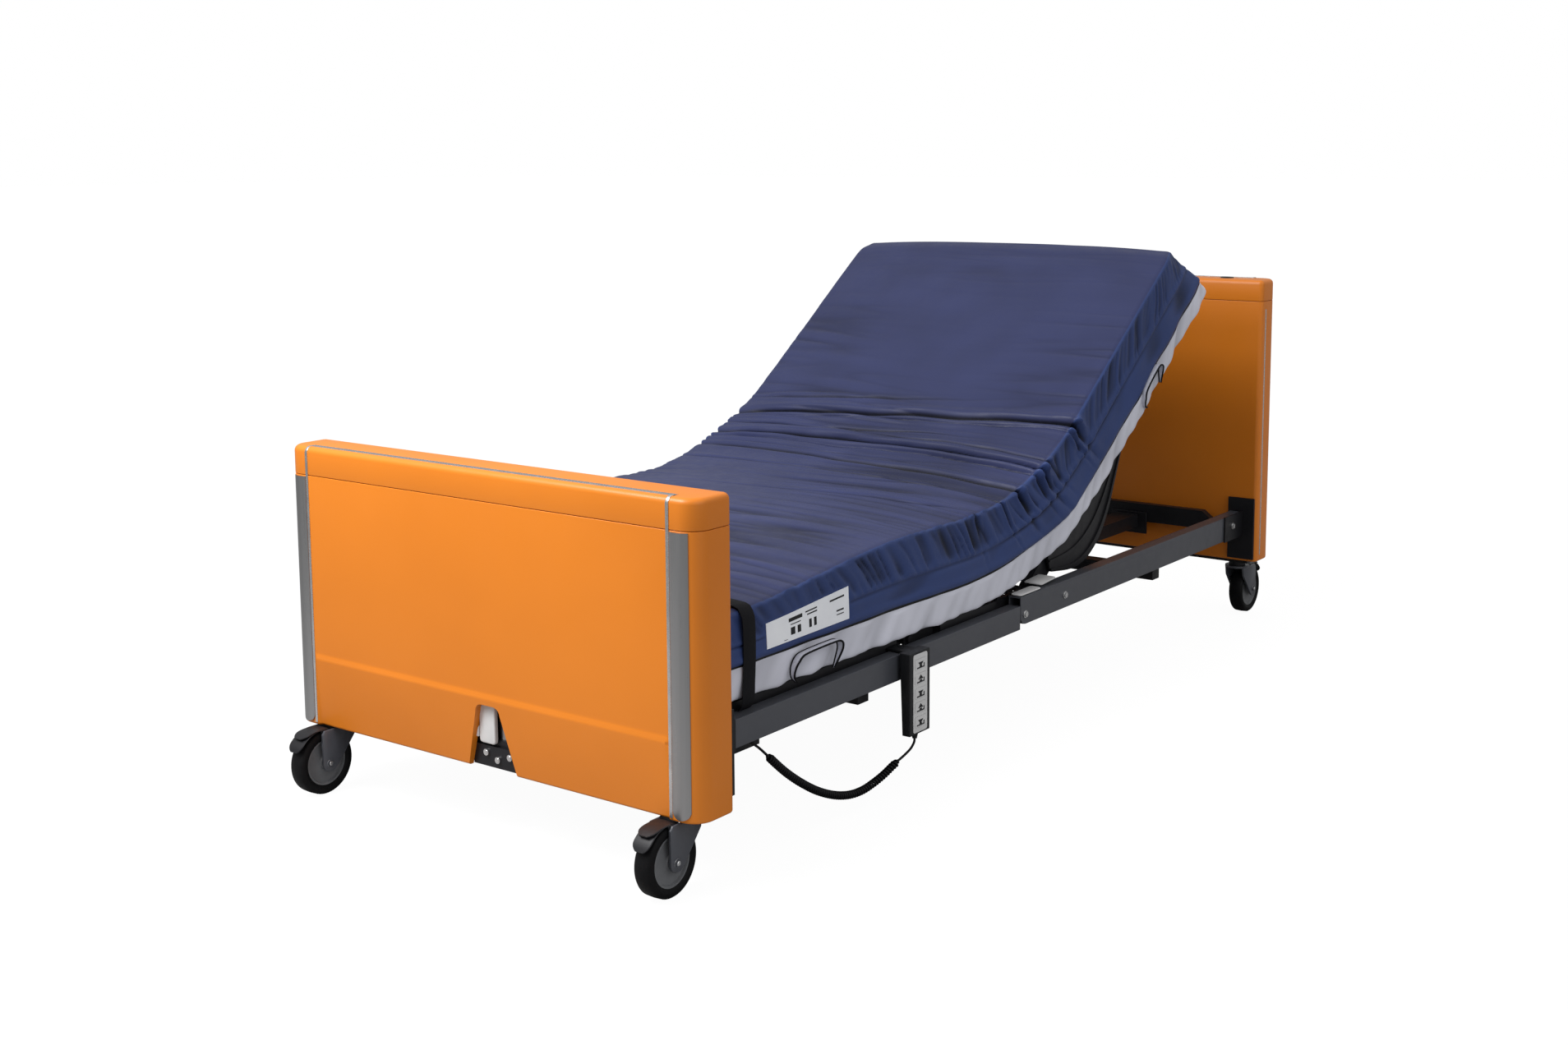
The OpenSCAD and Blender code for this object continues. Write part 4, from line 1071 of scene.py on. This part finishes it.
# ---------------------------------------------------------------- label, handles and strap
# plain bars on the label, as shares of its length and height
LABEL_BARS = ((0.26, 0.42, 0.72, 0.84), (0.46, 0.60, 0.80, 0.84), (0.48, 0.60, 0.70, 0.74),
              (0.28, 0.40, 0.60, 0.63), (0.28, 0.33, 0.22, 0.50), (0.36, 0.40, 0.22, 0.50),
              (0.50, 0.53, 0.24, 0.54), (0.56, 0.59, 0.24, 0.54), (0.76, 0.94, 0.78, 0.83),
              (0.84, 0.93, 0.40, 0.45), (0.84, 0.93, 0.28, 0.31), (0.20, 0.24, 0.08, 0.10))
WEB_T = 1.6 * MM                  # thickness of the webbing
HANDLE_W = 15 * MM
HANDLES = (("foot", -0.85, -0.712, "calf"), ("head", 0.625, 0.735, "back"))    # ends along the mattress, body
HANDLE_STEPS = 44
PIPING_R = 1.9 * MM
STRAP_S = -0.968
STRAP_W = 34 * MM


def cover_patch(s_span, h_span, proud, across=8, along=24):
    """A thin patch sewn to the right side of the cover, following its surface."""
    heights = np.linspace(*h_span, across + 1)
    grid = np.array([[MAT_HALF, s, h] for s in np.linspace(*s_span, along + 1) for h in heights])
    return slab(shaped(grid, proud)[0], shaped(grid, -1.5 * MM)[0], along, across)


def make_label():
    """A sewn white care label with plain bars in place of its print."""
    label = join_parts("care_label", [cover_patch(LABEL_S, LABEL_H, 1.0 * MM)], "label_white")
    bars = []
    for s0, s1, h0, h1 in LABEL_BARS:
        span_s = [LABEL_S[0] + (LABEL_S[1] - LABEL_S[0]) * v for v in (s0, s1)]
        span_h = [LABEL_H[0] + (LABEL_H[1] - LABEL_H[0]) * v for v in (h0, h1)]
        bars.append(cover_patch(span_s, span_h, 1.4 * MM, 2, 4))
    marks = join_parts("care_label_bars", bars, "case_black")
    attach(label, "calf")
    marks.parent = label


def ribbon(path, halves):
    """A flat strap along path; halves holds half its width as a vector at each point."""
    section = ((-1, -0.4), (-0.94, -1), (0.94, -1), (1, -0.4), (1, 0.4), (0.94, 1), (-0.94, 1), (-1, 0.4))
    rings = []
    for i, (p, half) in enumerate(zip(path, halves)):
        out = heading(path, i).cross(half).normalized() * WEB_T / 2
        rings.append([p + half * a + out * b for a, b in section])
    return loft(rings)


def piping(path, offsets):
    """A round bead along path, shifted by its own offset at each point."""
    line = [p + o for p, o in zip(path, offsets)]
    rings = []
    for i, p in enumerate(line):
        along = heading(line, i)
        a = along.cross(Vector((1, 0, 0))).normalized()
        b = along.cross(a)
        turns = [math.pi / 4 * k for k in range(8)]
        rings.append([p + (a * math.cos(t) + b * math.sin(t)) * PIPING_R for t in turns])
    return loft(rings)


def make_handles():
    """Carrying handles of pale webbing with black edges, sewn low on both sides of the cover."""
    for at, s0, s1, body in HANDLES:
        route = np.array([(s0 + 0.010, 0.001), (s0 - 0.003, 0.014), (s0 - 0.002, 0.032), (s0 + 0.010, 0.046),
                          (s0 + 0.032, 0.051), (s1 - 0.030, 0.053), (s1 - 0.006, 0.050), (s1 + 0.001, 0.036),
                          (s1 - 0.006, 0.018), (s1 - 0.014, 0.001)])
        for side, name in SIDES:
            path = curve_through([(0, *yz) for yz in bend_up(*route.T)], HANDLE_STEPS)
            halves = []
            for i, p in enumerate(path):
                t = min(i, HANDLE_STEPS - i) / 9
                p.x = side * (MAT_HALF + 10 * MM + HANDLE_W / 2 * min(1.0, 0.3 + 0.7 * t))
                halves.append(Vector((HANDLE_W / 2 * min(1.0, 0.25 + 0.75 * t), 0, 0)))
            strap = join_parts("handle_%s_%s" % (at, name), [ribbon(path, halves)], "cover_grey", 50)
            beads = [piping(path, [-half for half in halves]), piping(path, halves)]
            edges = join_parts("handle_piping_%s_%s" % (at, name), beads, "webbing_black", 50)
            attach(strap, body)
            edges.parent = strap


def make_strap():
    """The retaining strap over the foot end: across the top, down both sides and in under the platform."""
    top = float(thickness(np.array([STRAP_S]))[0])
    side = mm(((-12, -26), (4, -8), (7, 30), (9, 80))) + [(8 * MM, top - 24 * MM), (3 * MM, top - 6 * MM),
                                                          (-8 * MM, top + 4 * MM)]
    half_path = [(MAT_HALF + a, b) for a, b in side]
    for i in range(8):
        x = (MAT_HALF - 0.04) * (1 - i / 7)
        half_path.append((x, top + 14 * MM * (1 - (x / MAT_HALF) ** 3) + 3 * MM))
    whole = half_path + [(-x, h) for x, h in reversed(half_path[:-1])]
    path = curve_through([(x, STRAP_S, MAT_Z + h) for x, h in whole], 130)
    halves = [Vector((0, STRAP_W / 2, 0))] * len(path)
    strap = join_parts("foot_end_strap", [ribbon(path, halves)], "webbing_black", 50)
    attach(strap, "calf")


# ---------------------------------------------------------------- hand control and its cord
WIRE_R = 2.4 * MM
CURL_R = 8 * MM - WIRE_R
CURL_PITCH = 6.6 * MM
CURL_OPENS = 1.5           # turns over which the coil opens out at either end
TURN_STEPS = 16
ROUTE_STEPS = 700
TAIL_STEPS = 18
# the cord's route in mm, from the hand control to the gland
CORD_TOP = ((478, -497, 100), (478, -499, 92), (476, -507, 82), (472, -520, 73), (468, -537, 65))
CORD_CURL = ((468, -537, 65), (465, -556, 57), (462, -580, 47), (459, -608, 39), (457, -640, 34),
             (455, -674, 35), (453, -708, 42), (451, -742, 54), (449, -776, 70), (447, -808, 89),
             (446, -838, 109), (445, -866, 130), (444, -892, 152), (443, -914, 172))
CORD_END = ((443, -914, 172), (442, -926, 183), (440, -936, 192), (436, -944, 199), (430, -948, 203),
            (426, -948, 204))
CASE_WIDER = 1.06          # the case over its plain CAD shape
CASE_DEPTH = 17 * MM       # depth of the case at its lower end
CASE_SHOULDER = 215 * MM
MARK_T = 0.5 * MM
# plain marks on a key, as boxes in mm round its middle
KEY_BARS = ((-13, 13, -8.2, -5.6), (-4, 4, -5.6, -2.5), (10, 13, -5.6, 0.0))


def helix(route):
    """Turns of wire round the route, growing out of its line at one end and back into it at the other."""
    line = curve_through(route, ROUTE_STEPS)
    turns = round(path_length(line) / CURL_PITCH)
    steps = turns * TURN_STEPS
    out = []
    for k in range(steps + 1):
        at = k / steps
        i = min(int(at * ROUTE_STEPS), ROUTE_STEPS - 1)
        along = heading(line, i, 3)
        side = along.cross(Vector((1, 0, 0))).normalized()
        turn = 2 * math.pi * turns * at
        grow = min(1.0, at * turns / CURL_OPENS, (1 - at) * turns / CURL_OPENS)
        spoke = side * math.cos(turn) + along.cross(side) * math.sin(turn)
        out.append(line[i].lerp(line[i + 1], at * ROUTE_STEPS - i) + spoke * CURL_R * grow)
    return out


def make_cord():
    """The hand control's curly cord: straight tails and a long sprung coil that hangs in a loop."""
    top, curl, end = ([Vector(p) * MM for p in route] for route in (CORD_TOP, CORD_CURL, CORD_END))
    points = curve_through(top, TAIL_STEPS)[:-1] + helix(curl) + curve_through(end, TAIL_STEPS)[1:]
    data = bpy.data.curves.new("handset_cord_line", "CURVE")
    data.dimensions = "3D"
    spline = data.splines.new("POLY")
    spline.points.add(len(points) - 1)
    for point, place in zip(spline.points, points):
        point.co = (*place, 1)
    data.bevel_depth = WIRE_R
    data.bevel_resolution = 3
    data.use_fill_caps = True
    cord = dress(link("handset_curly_cord", data), "cord_black")
    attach(cord, "chassis")
    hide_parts("handset_cord", "handset_cord_curl")


def make_film(box, keys):
    """The keypad's surround: a thin grey plate with a window for each key."""
    face, y0, y1 = box[1].x, keys[0][0].y, keys[0][1].y
    low, high = keys[0][0].z - 10 * MM, keys[-1][1].z + 10 * MM
    outline = rounded_rect((y1 - y0) / 2 + 5 * MM, (high - low) / 2, 5 * MM)
    rings = []
    for x in (face - 0.2 * MM, face + 0.9 * MM):
        rings.append([(x, (y0 + y1) / 2 + a, (low + high) / 2 + b) for a, b in outline])
    film = make_object("handset_keypad", loft(rings), "key_grey")
    edit(film.data)
    for a, b in keys:
        mid = (a + b) / 2
        hole = rounded_rect((b.y - a.y) / 2 + 0.5 * MM, (b.z - a.z) / 2 + 0.5 * MM, 3 * MM)
        through = (face - 3 * MM, face + 3 * MM)
        cut_out(film, loft([[(x, mid.y + p, mid.z + q) for p, q in hole] for x in through]))
    shade_by_angle(film)
    return film


def make_handset():
    """Case with rounded edges, a grey keypad surround, keys and a plain mark on each key."""
    body = softened("handset_case", "handset_body", "case_black", "chassis", 2.4 * MM, 0.02)
    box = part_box("handset_body")
    middle = (box[0].y + box[1].y) / 2
    for v in body.data.vertices:
        v.co.y = middle + (v.co.y - middle) * CASE_WIDER
        if v.co.z < CASE_SHOULDER:
            v.co.x = max(v.co.x, box[1].x - CASE_DEPTH)
    keys = [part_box("handset_key_%d" % k) for k in range(1, 6)]
    make_film(box, keys).parent = body
    for k, (a, b) in enumerate(keys):
        tip = 1 if k % 2 else -1
        outlines = [((-9, 1 - tip * 2.5), (9, 1 - tip * 2.5), (0, 1 + tip * 6))]
        outlines += [((y0, z0), (y1, z0), (y1, z1), (y0, z1)) for y0, y1, z0, z1 in KEY_BARS]
        face = Vector((b.x + MARK_T / 2, (a.y + b.y) / 2, (a.z + b.z) / 2))
        marks = [loft([[face + Vector((x, y * MM, z * MM)) for y, z in outline] for x in (0, -MARK_T)])
                 for outline in outlines]
        mark = join_parts("key_mark_%d" % (k + 1), marks, "case_black")
        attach(mark, "key_%d" % (k + 1))


# ---------------------------------------------------------------- small parts
# the covers beside the seat in mm: x span, y span and the heights of the foot and head ends
PANS = ((432, 457, -58, 30, 285.4, 285.4), (404, 448, 46, 112, 287.5, 291.5))
PAN_LEVELS = ((0, 0.6), (0.8, 0), (2.2, 0), (3.0, 0.8))      # height and inset of its rounded edge
GUARD_X = (405 * MM, 410 * MM)
GUARD_S = (0.158, 0.620)   # the stretch of mattress that its upper edge follows
GUARD_LOW = ((153, 293), (230, 284), (280, 286), (330, 302), (380, 338), (420, 392), (450, 455), (488, 535),
             (528, 591))
GUARD_STEPS = 36
PROFILE_X = 412            # the black strips in mm, a dark fill as painted shade in the gap beside the rails: middle, thickness, height and height of the middle
PROFILE_T = 24
PROFILE_H = 30
PROFILE_Z = 265


def make_pans():
    """Pale flat covers over the rails' joint beside the seat section, a pair on each side."""
    for side, name in SIDES:
        parts = []
        for x0, x1, y0, y1, z0, z1 in PANS:
            outline = rounded_rect((x1 - x0) / 2, (y1 - y0) / 2, 6)
            rings = []
            for lift, inset in PAN_LEVELS:
                ring = []
                for a, b in outline:
                    x, y = (x0 + x1) / 2 + a * (1 - inset / 20), (y0 + y1) / 2 + b * (1 - inset / 30)
                    ring.append((side * x, y, z0 + (z1 - z0) * (b / (y1 - y0) + 0.5) + lift))
                rings.append(mm(ring))
            parts.append(loft(rings))
        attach(join_parts("seat_pans_" + name, parts, "key_grey", 40), "chassis")


def make_guards():
    """Curved black plates beside the back section's frame, with a ribbed rim, below the mattress."""
    upper = bend_up(np.linspace(*GUARD_S, GUARD_STEPS + 1), np.full(GUARD_STEPS + 1, -1 * MM))
    lower = [(p.y * MM, p.z * MM) for p in curve_through([(0, y, z) for y, z in GUARD_LOW], GUARD_STEPS)]
    x0, x1 = GUARD_X
    # the plate, its rim and a rib: inner and outer x, and shares of the way from upper to lower edge
    ribs = ((x0, x1, (0.0, 1.0)),
            (x1 - 1 * MM, x1 + 4 * MM, (0.90, 1.0)),
            (x1 - 1 * MM, x1 + 3 * MM, (0.62, 0.68)))
    for side, name in SIDES:
        parts = []
        for inner, outer, shares in ribs:
            rings = []
            for (y0, z0), (y1, z1) in zip(upper, lower):
                a, b = [(y0 + (y1 - y0) * k, z0 + (z1 - z0) * k) for k in shares]
                corners = ((inner, a), (outer, a), (outer, b), (inner, b))
                rings.append([(side * x, *end) for x, end in corners])
            parts.append(loft(rings))
        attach(join_parts("back_guard_" + name, parts, "frame_black", 35), "back")


def make_gap_shade_strips():
    """Black strips along the lying sections that close the gap beside the rails: painted shade, a dark fill
    where the bed shows only shadow.
    """
    section = mm(rounded_rect(PROFILE_T / 2, PROFILE_H / 2, 1.5, 3))
    for body, y0, y1 in (("calf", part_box("calf_frame")[0].y + 4 * MM, KNEE_HINGE.y - 58 * MM),
                         ("thigh", KNEE_HINGE.y + 100 * MM, THIGH_HINGE.y - 24 * MM)):
        parts = []
        for side in (1, -1):
            ring = [(side * PROFILE_X * MM + a, PROFILE_Z * MM + b) for a, b in section]
            parts.append(loft([[(x, y, z) for x, z in ring] for y in (y0, y1)]))
        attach(join_parts("gap_shade_strip_" + body, parts, "frame_black"), body)


def rounded_block(x0, x1, z0, z1, front, radius):
    """A block in mm with round upright corners and a slightly rounded front, behind the foot board's face."""
    face = FOOT_SHELL[0].y / MM
    rings = []
    for y, inset in ((front, 2.4), (front + 0.6, 1.0), (front + 2, 0), (19, 0)):
        ring = rounded_rect((x1 - x0) / 2 - inset, (z1 - z0) / 2 - inset, max(radius - inset, 0.6), 6)
        rings.append(mm([((x0 + x1) / 2 + a, face + y, (z0 + z1) / 2 + b) for a, b in ring]))
    return loft(rings)


def make_lift_cover():
    """The pale cover on the lifting gear and its white connector, seen through the foot board's notch."""
    cover = [rounded_block(-12, 27, 175, 250, 11.5, 7)]
    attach(join_parts("lift_cover", cover, "key_grey", 40), "foot_base")
    plug = [rounded_block(-36, -15, 183, 205, 12, 3), rounded_block(-36, -13, 241, 247, 13, 2)]
    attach(join_parts("lift_connector", plug, "label_white"), "foot_base")


# ---------------------------------------------------------------- run
make_camera()
make_studio()
make_cord()
make_boards()
make_trim()
finish_cad_nodes()
make_frame()
for place in ("foot_right", "foot_left", "head_right", "head_left"):
    make_castor(place)
make_mattress()
make_label()
make_handles()
make_strap()
make_handset()
make_pans()
make_guards()
make_gap_shade_strips()
make_lift_cover()
